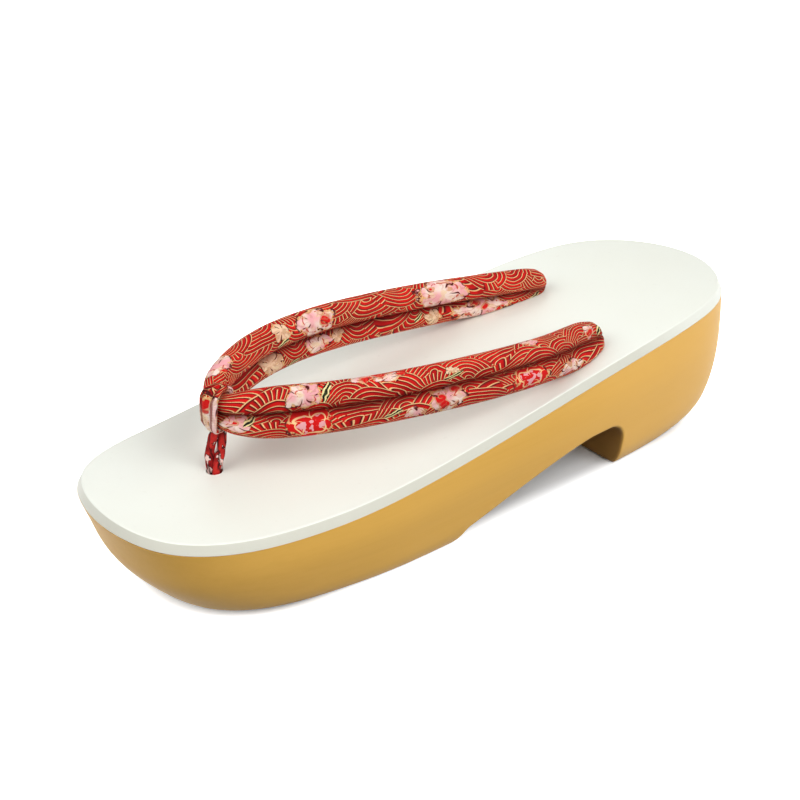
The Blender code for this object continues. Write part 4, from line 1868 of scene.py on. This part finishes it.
def toward(azimuth: float, elevation: float) -> Vector:
    """Direction from the sandal to a camera or light: the azimuth counts from the toe by way of +X."""
    a, e = math.radians(azimuth), math.radians(elevation)
    return Vector((math.sin(a) * math.cos(e), -math.cos(a) * math.cos(e), math.sin(e)))


@dataclass(frozen=True)
class Softbox:
    """One square area light that faces the sandal."""

    azimuth: float
    elevation: float
    size: float
    power: float
    distance: float = 1.3

    def hang(self) -> None:
        """Put the light in the scene."""
        name = f"softbox_{self.azimuth:.0f}_{self.elevation:.0f}"
        data = bpy.data.lights.new(name, "AREA")
        data.size, data.energy = self.size, self.power
        place = toward(self.azimuth, self.elevation) * self.distance
        light = bpy.data.objects.new(name, data)
        light.location = place
        light.rotation_mode = "QUATERNION"
        light.rotation_quaternion = (Vector() - place).to_track_quat("-Z", "Y")
        bpy.context.scene.collection.objects.link(light)


@dataclass
class Studio:
    """Camera, floor and lights."""

    azimuth: float = 51.493
    elevation: float = 28.937
    distance: float = 0.52993
    focal: float = 67.5
    sensor: float = 36.0
    target: tuple[float, float, float] = (-0.04324, 0.02105, 0.0)
    floor_reach: float = 4.0
    ceiling: float = 0.026
    ceiling_between: tuple[float, float] = (0.08, 0.24)
    horizon: float = 0.85
    ground: float = 0.0
    ground_between: tuple[float, float] = (-0.03, -0.12)
    softboxes: tuple[Softbox, ...] = (
        Softbox(0.0, 40.0, 0.9, 7.5),
        Softbox(50.0, 40.0, 0.9, 1.5),
        Softbox(100.0, 40.0, 0.9, 11.0),
        Softbox(145.0, 40.0, 0.9, 3.7),
        Softbox(235.0, 45.0, 0.9, 2.4),
        Softbox(260.0, 65.0, 0.8, 1.0),
        Softbox(320.0, 40.0, 0.9, 2.6),
        Softbox(0.0, 90.0, 1.3, 1.1),
    )

    def camera(self) -> None:
        """Set the camera at the photograph's angle."""
        data = bpy.data.cameras.new("camera")
        data.lens, data.sensor_width = self.focal, self.sensor
        data.clip_start, data.clip_end = 0.01, 20.0
        camera = bpy.data.objects.new("camera", data)
        back = toward(self.azimuth, self.elevation)
        camera.location = Vector(self.target) + back * self.distance
        camera.rotation_mode = "QUATERNION"
        camera.rotation_quaternion = (-back).to_track_quat("-Z", "Y")
        bpy.context.scene.collection.objects.link(camera)
        bpy.context.scene.camera = camera

    def floor(self) -> None:
        """Lay a wide white floor that doesn't light the sandal."""
        draft = MeshDraft("floor")
        grid = np.linspace(-self.floor_reach, self.floor_reach, 9)
        x, y = np.meshgrid(grid, grid, indexing="xy")
        draft.sheet(draft.add(np.stack((x, y, 0 * x), -1)))
        floor = draft.build()
        floor.data.materials.append(GlowingFloor().make())
        floor.visible_diffuse = False

    def sky(self) -> None:
        """Surround the studio with white along the horizon and a dim ceiling and ground."""
        world = bpy.data.worlds.new("studio")
        bpy.context.scene.world = world
        world.use_nodes = True
        sheet = NodeSheet(world.node_tree)
        height = sheet.split(sheet.node("ShaderNodeTexCoord").outputs["Generated"])[2]
        above, below = height.ramp(*self.ceiling_between), height.ramp(*self.ground_between)
        strength = above * (self.ceiling - self.horizon) + below * (self.ground - self.horizon) + self.horizon
        light = sheet.node("ShaderNodeBackground", None, {"Color": (1.0, 1.0, 1.0), "Strength": strength})
        output = sheet.node("ShaderNodeOutputWorld")
        sheet.tree.links.new(light.outputs[0], output.inputs[0])

    def light(self) -> None:
        """Hang the softboxes and show their light as it is."""
        bpy.context.scene.view_settings.view_transform = "Standard"
        for softbox in self.softboxes:
            softbox.hang()

    def set_up(self) -> None:
        """Set up the camera, floor and lights."""
        self.camera()
        self.floor()
        self.sky()
        self.light()


def cord_paths(deck: Deck, straps: HanaoStraps, holes: CordHoles) -> dict[str, tuple[Vector, Vector]]:
    """Top and bottom of each core cord.

    Args:
        deck: The deck.
        straps: The straps that the rear cords hang from.
        holes: Sizes of the cords and knots.

    Returns:
        Two points for each cord's name.
    """
    paths = {}
    total = float(straps.run[-1])
    knot_y = deck.toe_y + holes.rear_knot_y
    knot_z = holes.arch_height - deck.seat_gap - holes.knot_half_height
    for side, at in (("near", holes.rear_inset), ("far", total - holes.rear_inset)):
        centre, _, pair, radius = (value[0] for value in straps.frames(np.array([at])))
        x, y = (centre - pair * radius * straps.spacing * holes.rear_drop_share)[:2]
        top = Vector((x, y, float(deck.height(y)) + radius * holes.rear_rise_share))
        bottom = Vector((x, knot_y, knot_z))
        paths[side] = (top, bottom)
    y = deck.toe_y + holes.front_from_toe
    top = Vector((holes.front_offset, y, float(deck.height(y)) - deck.board_thickness))
    bottom = Vector((holes.front_offset, y, holes.pocket_depth - deck.seat_gap - holes.knot_half_height))
    paths["front"] = (top, bottom)
    return paths


def main() -> None:
    """Build the studio and every piece of the sandal in order."""
    logging.basicConfig(level=logging.INFO, format="%(name)s %(message)s")
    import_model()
    Studio().set_up()
    deck = Deck(toe_y=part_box("top_board")[0].y + Deck.flare)
    straps = HanaoStraps(deck)
    holes = CordHoles(deck)
    holes.paths = cord_paths(deck, straps, holes)
    block, board = SoleBlock(deck, holes), TopBoard(deck, holes)
    for maker in (block, board, straps, FrontThong(deck, straps, holes), CoreCords(holes)):
        maker.dress(maker.build())


if __name__ == "__main__":
    main()
